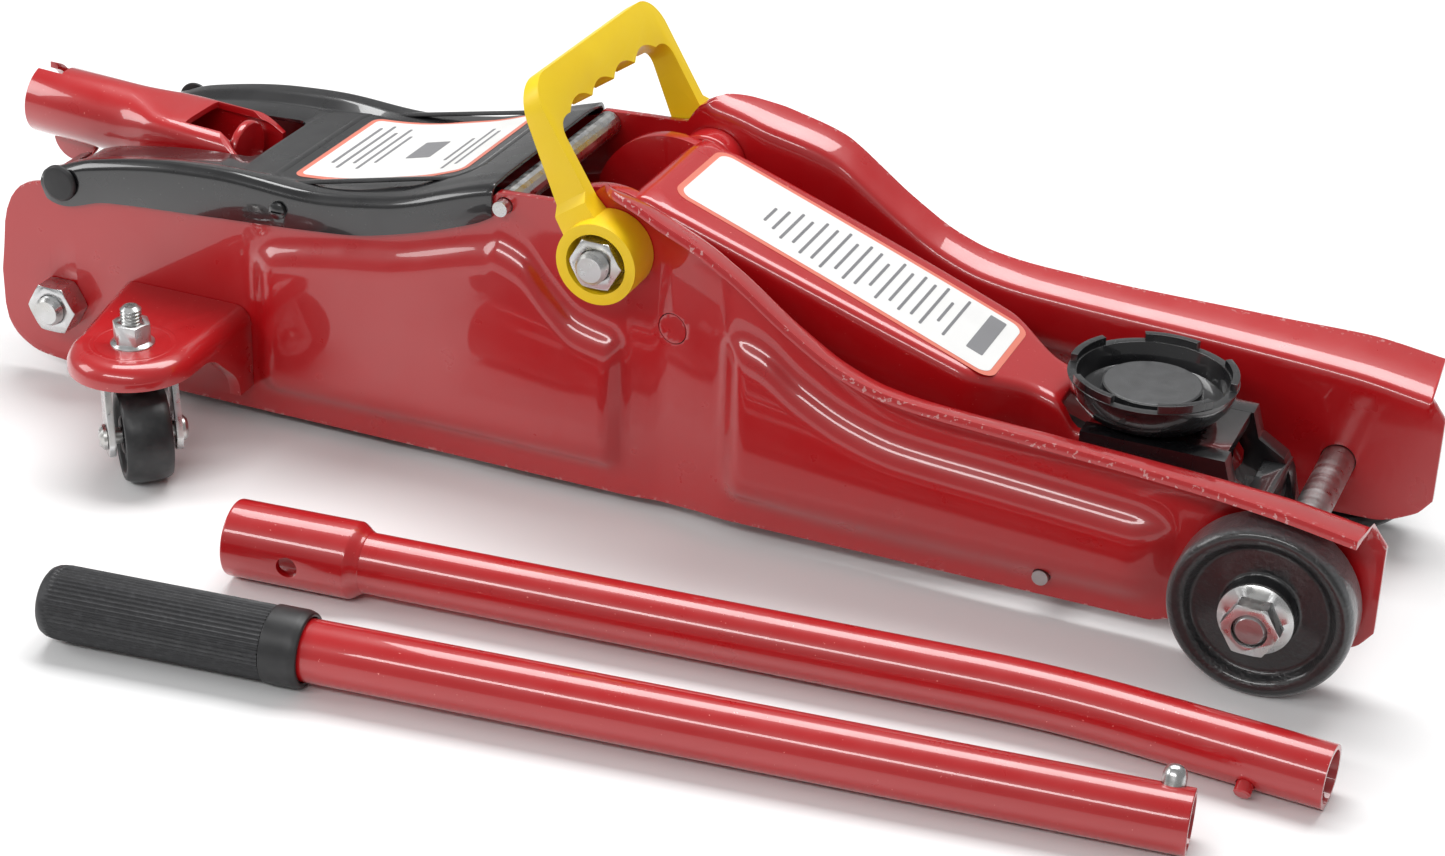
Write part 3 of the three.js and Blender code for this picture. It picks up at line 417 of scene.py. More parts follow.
def red_gloss(name):
    s = Surface(name, (0.44, 0.004, 0.007), 0.32).coat(1.0, 0.035)
    return s.tint(s.ramp(s.noise(14, 3), 0.35, 0.75, 0, 0.45), (0.35, 0.003, 0.005))


def red_paint():
    s = red_gloss("red_gloss_paint")
    s.tint(s.ramp(s.noise(900, 2), 0.735, 0.76), (0.75, 0.22, 0.2))
    s.rough(s.noise(60), 0.26, 0.4)
    return s.bump(s.noise(170, 2), 0.05, 0.35).material


def red_paint_chipped():
    s = red_gloss("red_gloss_paint_worn_edges")
    worn = s.math("MULTIPLY", s.ramp(s.edge(), 0.3, 0.6), s.ramp(s.noise(520, 4), 0.61, 0.625))
    s.tint(worn, (0.72, 0.56, 0.54))
    s.rough(s.noise(60), 0.26, 0.4)
    return s.bump(s.noise(170, 2), 0.05, 0.35).bump(worn, 0.06, 0.6).material


def black_paint():
    s = Surface("black_gloss_paint", (0.006, 0.006, 0.007), 0.3).coat(1.0, 0.04)
    s.tint(s.ramp(s.noise(1100, 2), 0.73, 0.76, 0, 0.5), (0.2, 0.2, 0.2))
    s.rough(s.noise(50), 0.22, 0.38)
    return s.bump(s.noise(190, 2), 0.05, 0.35).material


def black_satin():
    s = Surface("black_satin_paint", (0.012, 0.012, 0.013), 0.45)
    s.tint(s.ramp(s.noise(150, 4), 0.45, 0.7, 0, 0.5), (0.03, 0.03, 0.031))
    s.rough(s.noise(90), 0.36, 0.55)
    return s.bump(s.noise(600, 4), 0.08, 0.4).material


def cast_wheel(name, centre, tread_from):
    s = Surface(name, (0.010, 0.010, 0.011), 0.3).coat(0.7, 0.12)
    s.tint(s.ramp(s.noise(90, 5), 0.4, 0.7, 0, 0.6), (0.02, 0.02, 0.021))
    radius = s.distance(centre, "XZ")
    tread = s.ramp(radius, tread_from * MM, (tread_from + 0.9) * MM)
    worn = s.math("MULTIPLY", tread, s.ramp(s.noise(200, 4), 0.3, 0.5, 0.75, 1))
    s.tint(worn, (0.115, 0.12, 0.125))
    s.rough(s.noise(120), 0.28, 0.46)
    return s.bump(s.noise(650, 3), 0.55, 0.8).bump(s.noise(200, 3), 0.4, 0.5).material


def nylon_wheel():
    s = Surface("black_nylon", (0.012, 0.012, 0.013), 0.4)
    s.tint(s.ramp(s.noise(200, 4), 0.45, 0.7, 0, 0.4), (0.04, 0.04, 0.04))
    s.rough(s.noise(90), 0.3, 0.5)
    return s.bump(s.noise(800, 3), 0.08, 0.4).material


def zinc():
    s = Surface("zinc_plate", (0.63, 0.635, 0.64), 0.28, 1.0)
    s.tint(s.ramp(s.noise(120, 4), 0.4, 0.7, 0, 0.6), (0.5, 0.49, 0.45))
    s.rough(s.noise(220), 0.2, 0.42)
    return s.bump(s.noise(900, 4), 0.05, 0.4).material


def steel():
    s = Surface("bare_steel", (0.45, 0.45, 0.45), 0.32, 1.0)
    s.tint(s.ramp(s.noise(80, 5), 0.45, 0.75, 0, 0.6), (0.22, 0.21, 0.2))
    s.rough(s.noise(300, 4, (0.1, 1, 1)), 0.24, 0.45)
    return s.bump(s.noise(900, 3, (0.15, 1, 1)), 0.06, 0.4).material


def turned_steel():
    """The saddle's machined disc, with rings round its axis."""
    s = Surface("turned_steel", (0.06, 0.061, 0.063), 0.34).coat(0.5, 0.2)
    ring_spacing = 0.7 * MM
    radius = s.distance(SADDLE, "XY")
    rings = s.math("SINE", s.math("MULTIPLY", radius, 2 * math.pi / ring_spacing))
    s.tint(s.ramp(s.noise(150, 5), 0.4, 0.7, 0, 0.5), (0.04, 0.04, 0.04))
    s.rough(s.noise(200), 0.3, 0.45)
    return s.bump(rings, 0.03, 0.4).material


def cast_iron():
    s = Surface("cast_iron", (0.07, 0.072, 0.075), 0.6, 0.4)
    s.tint(s.ramp(s.noise(70, 5), 0.4, 0.7, 0, 0.6), (0.14, 0.13, 0.12))
    s.rough(s.noise(150), 0.45, 0.7)
    return s.bump(s.noise(450, 5), 0.3, 0.5).material


def yellow_plastic():
    s = Surface("yellow_plastic", (0.86, 0.60, 0.008), 0.36)
    s.tint(s.ramp(s.noise(35, 3), 0.4, 0.75, 0, 0.5), (0.78, 0.50, 0.006))
    s.rough(s.noise(120), 0.3, 0.46)
    return s.bump(s.noise(1500, 3), 0.04, 0.5).material


def grip_rubber():
    s = Surface("grip_rubber", (0.016, 0.016, 0.018), 0.5)
    s.tint(s.ramp(s.noise(400, 4), 0.5, 0.75, 0, 0.5), (0.06, 0.06, 0.065))
    s.rough(s.noise(200), 0.42, 0.62)
    return s.bump(s.noise(1500, 3), 0.06, 0.5).material


def printed(name, colour):
    s = Surface(name, colour, 0.35).coat(0.4, 0.15)
    s.tint(s.ramp(s.noise(60, 4), 0.5, 0.8, 0, 0.35), tuple(0.86 * c for c in colour))
    s.rough(s.noise(90), 0.28, 0.42)
    return s.bump(s.noise(300, 3), 0.02, 0.3).material


def floor_material():
    s = Surface("pale_floor", (0.86, 0.86, 0.86), 0.6)
    s.tint(s.ramp(s.noise(3, 3), 0.4, 0.7, 0, 0.3), (0.84, 0.84, 0.845))
    return s.material


RED = red_paint()
RED_WORN = red_paint_chipped()
BLACK = black_paint()
BLACK_SATIN = black_satin()
NYLON = nylon_wheel()
ZINC = zinc()
STEEL = steel()
TURNED = turned_steel()
IRON = cast_iron()
YELLOW = yellow_plastic()
RUBBER = grip_rubber()
LABEL_WHITE = printed("label_white", (0.80, 0.80, 0.79))
LABEL_BORDER = printed("label_border", (0.72, 0.20, 0.14))
LABEL_INK = printed("label_ink", (0.22, 0.22, 0.23))

HIDDEN_NODES = {
    "pump_block": IRON, "hydraulic_cylinder": IRON, "ram_piston": STEEL, "pump_plunger": STEEL,
    "release_valve_screw": ZINC, "arm_heel_roller": STEEL, "lower_stop_bar": STEEL, "link_front_pin": STEEL,
    "socket_pivot_pin": STEEL, "release_shaft": STEEL, "yoke_pin": BLACK, "upper_tie_bar": ZINC,
}
for node_name, node_material in HIDDEN_NODES.items():
    node_object = frame["nodes"][node_name]
    node_object.data.materials.clear()
    node_object.data.materials.append(node_material)


# ---------- side plates ----------

cover_top = smooth([
    (-500.4, 90.1), (-479, 98.1), (-438, 104.8), (-416, 105.8), (-382, 104.1), (-347.5, 108.1), (-310, 120.1),
    (-302, 122.4),
])
plate_top_open = smooth([
    (-304, 119.6), (-283, 120.6), (-265, 121.6), (-260.5, 128), (-256, 131.3), (-247, 130), (-229, 124.5),
    (-209, 117.5), (-176, 95), (-159, 85), (-143, 79.5), (-125, 77), (-45, 73), (0, 70), (30, 65.5),
])
plate_top_rear = smooth([(-523.6, 43), (-522, 53), (-520, 67), (-516, 76.5), (-510, 82.5), (-501, 85)])
plate_top_front = smooth([(30, 65.5), (36.5, 57)])
plate_bottom = smooth([
    (-523.6, 28), (-522.4, 21), (-517, 13.6), (-508, 9.1), (-499, 8), (-473, 6.1), (-250, 6.1), (-205, 9),
    (-42, 9), (-34, 11.2), (15, 11.5), (31, 17.5), (36.5, 24),
])
lip_width = smooth([
    (-258, 0), (-253, 7), (-247, 10.5), (-240, 13), (-230, 15.5), (-217, 15), (-190, 14.5), (-100, 16),
    (-30, 20), (10, 24), (30, 24.5),
])
plate_mid = smooth([(-234, REAR_HALF_WIDTH - SHEET / 2), (-205, FRONT_HALF_WIDTH - SHEET / 2)])
pressing_top = smooth([
    (-407, 77), (-393, 81), (-361, 87), (-319, 98), (-303, 103), (-290, 99), (-278, 86), (-266, 76),
    (-249, 73), (-208, 88), (-192, 84), (-176, 73), (-156, 63), (-137, 58), (-99, 55), (-34, 50),
])
pressing_depth = smooth([
    (-407, 0), (-395, PRESSING_DEPTH), (-254, PRESSING_DEPTH), (-248, 0),
    (-208, 0), (-197, PRESSING_DEPTH), (-52, PRESSING_DEPTH), (-34, 0),
])


def plate_top(x):
    if x < -501:
        return plate_top_rear(x)
    if x < -301.6:
        return cover_top(x) - 5
    return plate_top_open(x) if x <= 30 else plate_top_front(x)


def plate_line(x):
    """Middle line of the pressed plate at one x, from its bottom edge to the rim of its lip."""
    bottom, top = plate_bottom(x), plate_top(x)
    height = top - bottom
    lip = lip_width(x) if x < 30.5 else 0
    bend = min(lip / 6, 1)
    mid = plate_mid(x)
    out = mid + pressing_depth(x)
    panel_top = min(pressing_top(x), top - 0.15 * height)
    line = [
        (mid, bottom), (mid, bottom + min(10, 0.1 * height)), (out, bottom + min(17, 0.25 * height)),
        (out, panel_top - 7), (mid, panel_top),
    ]
    for i, (across, up) in enumerate([(0, -5), (2.4, -2), (max(lip, 0.5), -1.6 + 0.2 * lip)]):
        straight = -2 + i
        line.append((mid + bend * across, top + straight + bend * (up - straight)))
    return soften(line, 6, pieces=6)


def mark_edges(obj, reach=2.6):
    """Sets what the worn paint reads: 1 at the sheet's bottom edge and at the rim of its lip."""
    attribute = obj.data.attributes.new("edge", "FLOAT", "POINT")
    ends = {}
    for vertex in obj.data.vertices:
        x = round((vertex.co.x - AXLE.x) / MM, 1)
        if x not in ends:
            line = plate_line(x)
            ends[x] = (Vector(line[0]), Vector(line[-1]))
        here = Vector((abs(vertex.co.y - AXLE.y), vertex.co.z)) / MM
        nearest = min((here - end).length for end in ends[x])
        attribute.data[vertex.index].value = max(0.0, 1 - nearest / reach)


def side_plates():
    ends = [-523.6, -523.2, -522.6, -521.8, -520.5]
    stations = ends + steps(-519, 29, 2.4) + [30, 30.8, 32, 33.5, 35, 36, 36.5]
    sections = [sheet_section(x, plate_line(x), SHEET) for x in stations]
    holes = [
        (6.5, (0, 0, WHEEL_RADIUS)), (M12_RADIUS, ARM_PIVOT), (M12_RADIUS, REAR_TIE), (4, COVER_BOLT),
        (3, UPPER_TIE), (3, LOWER_STOP), (2, COVER_SCREW),
    ]
    near, far = 40, 70
    pin_mark = [(5.7, near), (6.1, near), (6.1, far), (5.7, far)]
    for side, sign in SIDES:
        place = side_place(sign)
        plate = loft(f"plate_{side}", sections, place)
        tools = [crossbar("hole", radius + GAP, near, far, at, place) for radius, at in holes]
        tools.append(lathe("pin_mark", pin_mark, "Y", side_place(sign, LINK_REAR)))
        cut(plate, *tools)
        piece(plate, RED_WORN, "chassis", [f"side_plate_{side}"], bevel=0.5, angle=50)
        mark_edges(plate)


side_plates()
for side, sign in SIDES:
    link_pin = crossbar(f"link_pin_{side}", 5.6, 36.5, 44.5, LINK_REAR, side_place(sign), 72)
    piece(link_pin, RED, "chassis", [f"link_pivot_pin_{side}"], bevel=0.3)


# ---------- rear cover ----------

cover_skirt = smooth([
    (-500.4, 85), (-497.5, 79), (-491, 77.6), (-471, 82.6), (-426, 86), (-382, 89), (-361, 91), (-339, 96),
    (-318, 102.7), (-306, 107.6), (-302, 110.1),
])
cover_dip = smooth([(-500.4, 2.5), (-421, 4.5), (-400, 2.5), (-330, -0.5), (-302, -0.5)])
COVER_SIDE = REAR_HALF_WIDTH + 0.5 + COVER_SHEET / 2


def cover_line(x):
    top = cover_top(x) - COVER_SHEET / 2
    half = [
        (COVER_SIDE, cover_skirt(x)), (COVER_SIDE, top - 2.4), (COVER_SIDE - 2.4, top),
        (COVER_SIDE - 8, top - 0.2 * cover_dip(x)), (COVER_SIDE - 13, top - cover_dip(x)),
    ]
    return soften(half + mirrored(half), 1.2)


def cover_surface(x):
    return cover_top(x) - cover_dip(x)


def rounded_plan(x_low, x_high, y_low, y_high, radius):
    corners = [
        (x_high - radius, y_high - radius, 0), (x_low + radius, y_high - radius, 90),
        (x_low + radius, y_low + radius, 180), (x_high - radius, y_low + radius, 270),
    ]
    return [p for x, y, start in corners for p in arc(x, y, radius, start, start + 90, 8)]


def rear_cover():
    stations = [-500.4, -499.8, -499] + steps(-498, -302, 2.5)
    shell = loft("cover", [sheet_section(x, cover_line(x), COVER_SHEET) for x in stations])
    cut(
        shell,
        prism("window", rounded_plan(-530, -419, -21, 21, 5), "Z", 80, 120),
        crossbar("bolts", 4 + GAP, -ACROSS, ACROSS, COVER_BOLT),
        crossbar("screws", 2 + GAP, -ACROSS, ACROSS, COVER_SCREW),
    )
    piece(shell, BLACK, "chassis", ["rear_cover"], bevel=0.3, angle=50)


rear_cover()


def skin_patch(name, stations, edges, height, thickness, material, body):
    """A thin patch that follows a surface: edges(x) gives its two y limits, height(x, y) the surface."""
    sections = []
    across = 12
    for x in stations:
        low, high = edges(x)
        ys = [low + (high - low) * i / across for i in range(across + 1)]
        under = [(x, y, height(x, y)) for y in ys]
        over = [(x, y, height(x, y) + thickness) for y in reversed(ys)]
        sections.append(under + over)
    return piece(loft(name, sections), material, body)


def patch_edges(x_low, x_high, low, high, radius, slant=0.0):
    """Limits of a rounded rectangle whose ends stand slant mm per mm out of square."""
    def edges(x):
        inward = max(0.0, radius - min(x - x_low, x_high - x))
        cornered = radius - math.sqrt(max(radius ** 2 - inward ** 2, 0.0))
        shift = slant * (x - (x_low + x_high) / 2)
        return low + cornered + shift, high - cornered + shift

    return edges


def patch_stations(x_low, x_high, radius):
    ease = [radius * (1 - math.cos(math.radians(a))) for a in range(0, 91, 15)]
    middle = steps(x_low + radius, x_high - radius, 4)
    return [x_low + e for e in ease[:-1]] + middle + [x_high - e for e in reversed(ease[:-1])]


LABEL_BORDER_WIDTH = 2.2
LABEL_LAYER = 0.12
LABEL_THICKNESS = 0.1


def label(name, box, bars, surface, lift, body, slant=0.0, radius=4.0):
    """A printed label: coloured border, white field and plain bars, each a hair above the last."""
    x_low, x_high, y_low, y_high = box
    edge = LABEL_BORDER_WIDTH
    field = (x_low + edge, x_high - edge, y_low + edge, y_high - edge)
    layers = [("border", box, LABEL_BORDER, radius), ("field", field, LABEL_WHITE, radius - 1.5)]
    layers += [(f"bar_{i}", bar, LABEL_INK, 0.6) for i, bar in enumerate(bars)]
    for i, (part, (a, b, c, d), ink, corner) in enumerate(layers):
        raise_by = lift + LABEL_LAYER * min(i, 2)
        skin_patch(
            f"{name}_{part}", patch_stations(a, b, corner),
            patch_edges(a, b, c, d, corner, slant),
            lambda x, y, up=raise_by: surface(x, y) + up, LABEL_THICKNESS, ink, body,
        )


def text_free_bars(x_low, spacing, y_low, y_high, lengths, thickness):
    """Plain bars across the label, where the real one has lines of writing."""
    middle, half = (y_low + y_high) / 2, (y_high - y_low) / 2
    bars = []
    for i, share in enumerate(lengths):
        x = x_low + i * spacing
        bars.append((x, x + thickness, middle - half * share, middle + half * share))
    return bars


LABEL_SLANT = 0.12


def cover_bead():
    """Rounded bead that frames the label panel on the cover."""
    x_low, x_high, half_y, radius = -402, -320, 39, 9
    plan = rounded_plan(x_low, x_high, -half_y, half_y, radius)
    path = [(x, min(y + 5 + LABEL_SLANT * (x + 361), 44.5)) for x, y in plan]
    bead, ring = 1.9, 10
    points, faces = [], []
    for i, (x, y) in enumerate(path):
        before, after = Vector(path[i - 1]), Vector(path[(i + 1) % len(path)])
        run = (after - before).normalized()
        for k in range(ring):
            a = 2 * math.pi * k / ring
            out = bead * math.cos(a)
            px, py = x + run.y * out, y - run.x * out
            points.append((px, py, cover_surface(px) - 0.35 + 0.75 * math.sin(a)))
    for i in range(len(path)):
        for k in range(ring):
            n, m = (i + 1) % len(path), (k + 1) % ring
            faces.append((i * ring + k, i * ring + m, n * ring + m, n * ring + k))
    piece(solid("cover_bead", points, faces), BLACK, "chassis")


def cover_label():
    bars = text_free_bars(-389, 4, -20, 30, [0.8, 0.95, 0.7, 0.9, 0.6], 1.3)
    bars += [(-362, -352, -4, 14)]
    bars += text_free_bars(-344, 4, -20, 30, [0.5, 0.9, 0.75], 1.3)
    label(
        "cover_label", (-396, -326, -28, 38), bars, lambda x, y: cover_surface(x), 0.02, "chassis",
        slant=LABEL_SLANT,
    )


cover_bead()
cover_label()


# ---------- nuts, bolts and bars ----------

def nut(name, flats, bore, low, high, body, nodes, place, axis="Y", flange=None):
    """A chamfered hexagon nut, with a round flange where it has one."""
    corner = flats / math.sqrt(3)
    hexagon = [(corner * math.cos(math.pi * i / 3), corner * math.sin(math.pi * i / 3)) for i in range(6)]
    body_of_nut = prism(name, hexagon, axis, low, high, place)
    ease = 0.1 * corner
    barrel = [(0, low), (corner - ease, low), (corner, low + 0.5 * ease), (corner, high - 0.5 * ease),
              (corner - ease, high), (0, high)]
    keep_inside(body_of_nut, lathe("barrel", barrel, axis, place))
    if flange:
        join(body_of_nut, lathe("flange", flange, axis, place))
    cut(body_of_nut, rod("bore", bore, low - 9, high + 9, axis, place=place))
    return piece(body_of_nut, ZINC, body, nodes, bevel=0.3, angle=28)


def threaded(start, end, radius, pitch=1.75):
    """Outline points of a thread between two stations, root and crest in turn."""
    points = []
    count = int(abs(end - start) / pitch)
    step = (end - start) / count
    for i in range(count):
        points += [(radius - 0.75, start + i * step), (radius, start + (i + 0.5) * step)]
    return points + [(radius - 0.75, end)]


def stepped_shaft(name, body_radius, body_half, end_radius, end_half, thread_from, at, node, material):
    thread = threaded(thread_from, end_half - 0.5, end_radius)
    half = [(0, end_half), (end_radius - 1.2, end_half), *reversed(thread)]
    half += [(end_radius, thread_from - 0.2), (end_radius, body_half), (body_radius - 0.5, body_half),
             (body_radius, body_half - 0.5)]
    outline = half + [(r, -y) for r, y in reversed(half)]
    shaft = lathe(name, outline, "Y", Matrix.Translation((at[0], 0, at[2])), 48)
    return piece(shaft, material, "chassis", [node], angle=40)


OUTSIDE = REAR_HALF_WIDTH + GAP
WHEEL_MIDDLE_Y = 64.8
WHEEL_HALF_WIDTH = 9.5
HUB_FACE = WHEEL_MIDDLE_Y + WHEEL_HALF_WIDTH
NUT_SEAT = 54.5
NUT_HEIGHT = 10
M12_BORE = M12_RADIUS + GAP
AXLE_CENTRE = Vector((0, 0, WHEEL_RADIUS))
stepped_shaft("front_axle_bar", 6.5, HUB_FACE + GAP, M12_RADIUS, HUB_FACE + 10.5, 76, AXLE_CENTRE,
              "front_axle", STEEL)
stepped_shaft("pivot_shaft_bar", 8, REAR_HALF_WIDTH - SHEET - GAP, M12_RADIUS, 69.5, 52, ARM_PIVOT,
              "arm_pivot_shaft", ZINC)
stepped_shaft("rear_tie_bar", M12_RADIUS, 40, M12_RADIUS, 61, 45, REAR_TIE, "rear_tie_rod", ZINC)
for side, sign in SIDES:
    flange_low = HUB_FACE + 2 * GAP
    flange_ring = [(6.3, flange_low), (13, flange_low), (13.3, flange_low + 0.5), (13.2, flange_low + 1.4),
                   (9.6, flange_low + 3.2), (6.3, flange_low + 3.2)]
    nut(f"axle_nut_{side}", 18, M12_BORE, flange_low + 1, flange_low + NUT_HEIGHT, "chassis",
        [f"front_axle_nut_{side}"], side_place(sign, AXLE_CENTRE), flange=flange_ring)
    nut(f"tie_nut_{side}", 19, M12_BORE, OUTSIDE, OUTSIDE + NUT_HEIGHT, "chassis",
        [f"rear_tie_nut_{side}"], side_place(sign, REAR_TIE))
    nut(f"pivot_nut_{side}", 18, M12_BORE, NUT_SEAT + GAP, NUT_SEAT + GAP + NUT_HEIGHT, "chassis",
        [f"arm_pivot_nut_{side}"], side_place(sign, ARM_PIVOT))


def cover_fixings():
    for side, sign in SIDES:
        seat = COVER_SIDE + COVER_SHEET / 2 + GAP
        head = soften([(0, seat), (7.5, seat), (7.5, seat + 1.2), (6.4, seat + 2), (0, seat + 2.2)], 0.5)
        bolt = lathe("bolt_" + side, head, "Y", side_place(sign, COVER_BOLT))
        piece(bolt, BLACK_SATIN, "chassis", [f"cover_bolt_{side}"])
        head = [(0, seat), (3.5, seat), (3.2, seat + 1.2), (1.8, seat + 2), (0, seat + 2.1)]
        spot = side_place(sign, COVER_SCREW)
        screw = lathe("screw_" + side, head, "Y", spot)
        slot = [(-2.2, -0.4), (2.2, -0.4), (2.2, 0.4), (-2.2, 0.4)]
        cut(screw, prism("slot", slot, "Y", seat + 1, seat + 9, spot))
        piece(screw, BLACK, "chassis", [f"cover_screw_{side}"])


cover_fixings()


# ---------- front wheels ----------

def front_wheels():
    bore = 6.8
    half = [(bore, 9.5), (12.5, 9.5), (13.5, 4.5), (24, 4.5), (26.5, 8.3), (30, 9.5), (WHEEL_RADIUS, 7)]
    outline = soften(half + [(r, -y) for r, y in reversed(half)], 1.5, closed=True)
    for side, sign in SIDES:
        middle = Matrix.Translation((0, sign * WHEEL_MIDDLE_Y, WHEEL_RADIUS))
        wheel = lathe(f"wheel_{side}", outline, "Y", middle, 128)
        material = cast_wheel(f"cast_wheel_{side}", AXLE_CENTRE, 31)
        piece(wheel, material, f"front_wheel_{side}", [f"front_wheel_{side}"])


front_wheels()


# ---------- lifting arm ----------

arm_top = smooth([
    (-264, 108), (-258, 117), (-250, 122.6), (-240, 119.4), (-98, 68.9), (-91, 66.2), (-84, 57), (-60, 56.5),
    (-45, 56), (-32, 54), (-28.3, 49),
])
arm_bottom = smooth([
    (-264, 100), (-250, 99), (-240, 86), (-180, 68), (-150, 65), (-98, 49.5), (-60, 38), (-45, 36),
    (-32, 37.5), (-28.3, 43),
])
arm_half_width = smooth([(-264, 31), (-250, 33), (-240, 33.2), (-125, 29.5), (-98, 15.5), (-28, 15.5)])
arm_shoulder = smooth([(-264, 11), (-250, 11), (-236, 3), (-28, 3)])


def arm_line(x):
    side = arm_half_width(x) - SHEET / 2
    top = arm_top(x) - SHEET / 2
    drop = min(arm_shoulder(x), top - arm_bottom(x) - 2)
    half = [(side, arm_bottom(x)), (side, top - drop), (side - 0.9, top - 0.9), (side - arm_shoulder(x), top)]
    return soften(half + mirrored(half), 1.6)


def lift_arm():
    stations = [-264, -263.4, -262.4, -261] + steps(-259, -29, 2.5) + [-28.3]
    arm = loft("arm", [sheet_section(x, arm_line(x), SHEET) for x in stations])
    web = [(-262, 118), (-215, 109.5), (-215, 82), (-240, 70), (-262, 62)]
    inner, outer = 25.4, 30.6
    for _, sign in SIDES:
        place = side_place(sign)
        disc = crossbar("disc", CHEEK_RADIUS, inner, outer, CHEEK, place, 96)
        join(arm, disc, prism("web", web, "Y", inner, outer, place))
    cut(
        arm, block("tip_slot", (-91, -12.4, 20), (-20, 12.4, 90)),
        crossbar("shaft_hole", 8 + GAP, -ACROSS, ACROSS, ARM_PIVOT),
        crossbar("tip_hole", M12_BORE, -ACROSS, ACROSS, ARM_TIP),
    )
    piece(arm, RED, "lift_arm", ["lift_arm"], bevel=0.6, angle=40)


lift_arm()


def arm_label():
    lengths = [
        0.35, 0.5, 0.7, 0.6, 0.85, 0.8, 0.95, 0.7, 0.9, 0.85, 0.6, 0.95, 0.75, 0.9, 0.8, 0.95, 0.5, 0.9,
    ]
    bars = text_free_bars(-212, 4.4, -17, 18, lengths, 1.1)
    bars.append((-128, -121.5, -14, 15))
    label(
        "arm_label", (-243, -114, -22.5, 23.5), bars, lambda x, y: arm_top(x), 0.05, "lift_arm",
        slant=-0.054, radius=6,
    )


arm_label()

bush_ring = soften([(8.3, 33.8), (13, 33.8), (14, 35), (14, 43.9), (8.3, 43.9)], 0.5, closed=True)
for side, sign in SIDES:
    bush = lathe(f"bush_{side}", bush_ring, "Y", side_place(sign, ARM_PIVOT))
    piece(bush, RED, "chassis", [f"arm_pivot_bush_{side}"])


# ---------- yoke, saddle, links ----------

LINK_PIN_BORE = 4.8
LUGS = 5
LUG_HALF_ANGLE = 20


def saddle_yoke():
    cheek = [(-80, 62), (-80, 56), (-50, 35), (-30, 20), *arc(LINK_FRONT.x, LINK_FRONT.z, 8, 180, 383),
             (-11, 40), (-14, 46), (-24, 52), (-27, 62)]
    yoke = block("yoke", (-79, -24, 57.7), (-28, 24, 61.9))
    tools = [block("toe", (-21, -24, 28), (-12, 24, 44))]
    for _, sign in SIDES:
        place = side_place(sign)
        tools.append(prism("cheek", cheek, "Y", 16.6, 25, place))
        tools.append(crossbar("boss", 10, 24, 27, ARM_TIP, place))
    join(yoke, *tools)
    cut(
        yoke, crossbar("pin_hole", 6.3, -40, 40, ARM_TIP),
        crossbar("link_hole", LINK_PIN_BORE, -40, 40, LINK_FRONT),
        rod("stud_hole", 8.3, 50, 70, "Z", at=(SADDLE.x, 0, 0)),
    )
    piece(yoke, BLACK, "saddle_yoke", ["saddle_yoke"], bevel=1.0, angle=30, segments=3)


def saddle():
    bowl_outline = [(0, 50), (8, 50), (8, 62.3), (20, 62.3), (25, 65), (29.5, 71), (31, 77), (27.6, 77),
                    (26, 69), (18.8, 68), (18.2, 73.8), (0, 73.8)]
    centre = Matrix.Translation((SADDLE.x, 0, 0))
    bowl = lathe("saddle_bowl", bowl_outline, "Z", centre, 120)
    lugs = []
    for i in range(LUGS):
        middle = -52 + i * 360 / LUGS
        low, high = middle - LUG_HALF_ANGLE, middle + LUG_HALF_ANGLE
        outline = arc(0, 0, 30.6, low, high, 12) + arc(0, 0, 28, high, low, 12)
        lugs.append(prism(f"lug_{i}", outline, "Z", 75.5, 80, centre))
    join(bowl, *lugs)
    piece(bowl, BLACK, "saddle", ["saddle"], bevel=0.7, angle=35, segments=3)
    face = soften([(0, 73.6), (17.9, 73.6), (17.5, 74.1), (0, 74.1)], 0.2)
    disc = lathe("saddle_disc", face, "Z", centre, 96)
    piece(disc, TURNED, "saddle")


def levelling_links():
    slope = (LINK_FRONT.z - LINK_REAR.z) / (LINK_FRONT.x - LINK_REAR.x)
    across = smooth([(-226, 40.5), (-142, 40.5), (-101, 28.5), (-14, 28.5)])
    sections = []
    for x in steps(-222, -18, 6):
        z, y = LINK_REAR.z + slope * (x - LINK_REAR.x), across(x)
        sections.append([(x, y - 2, z - 6.5), (x, y - 2, z + 6.5), (x, y + 2, z + 6.5), (x, y + 2, z - 6.5)])
    for side, sign in SIDES:
        place = side_place(sign)
        link = loft(f"link_{side}", sections, place)
        join(
            link, crossbar("rear_eye", 9, 38.45, 42.55, LINK_REAR, place),
            crossbar("front_eye", 8, 26.45, 30.55, LINK_FRONT, place),
        )
        cut(
            link, crossbar("rear_hole", 6.3, 30, 60, LINK_REAR, place),
            crossbar("front_hole", LINK_PIN_BORE, 10, 60, LINK_FRONT, place),
        )
        node = f"levelling_link_{side}"
        piece(link, BLACK, "levelling_links", [node], bevel=0.5, angle=35)


saddle_yoke()
saddle()
levelling_links()


# ---------- handle socket ----------

SOCKET = Matrix.Translation((SOCKET_PIVOT.x, 0, SOCKET_PIVOT.z)) @ Matrix.Rotation(math.radians(3.6), 4, "Y")
SOCKET_RADIUS = 14.5
SOCKET_WALL = 2.5
SOCKET_LIFT = 4
SOCKET_MOUTH = -87
SOCKET_FRONT = 15
FORK_HALF_WIDTH = 18
FORK_HALF_HEIGHT = 12
FORK_OPENING_HALF = 12.5


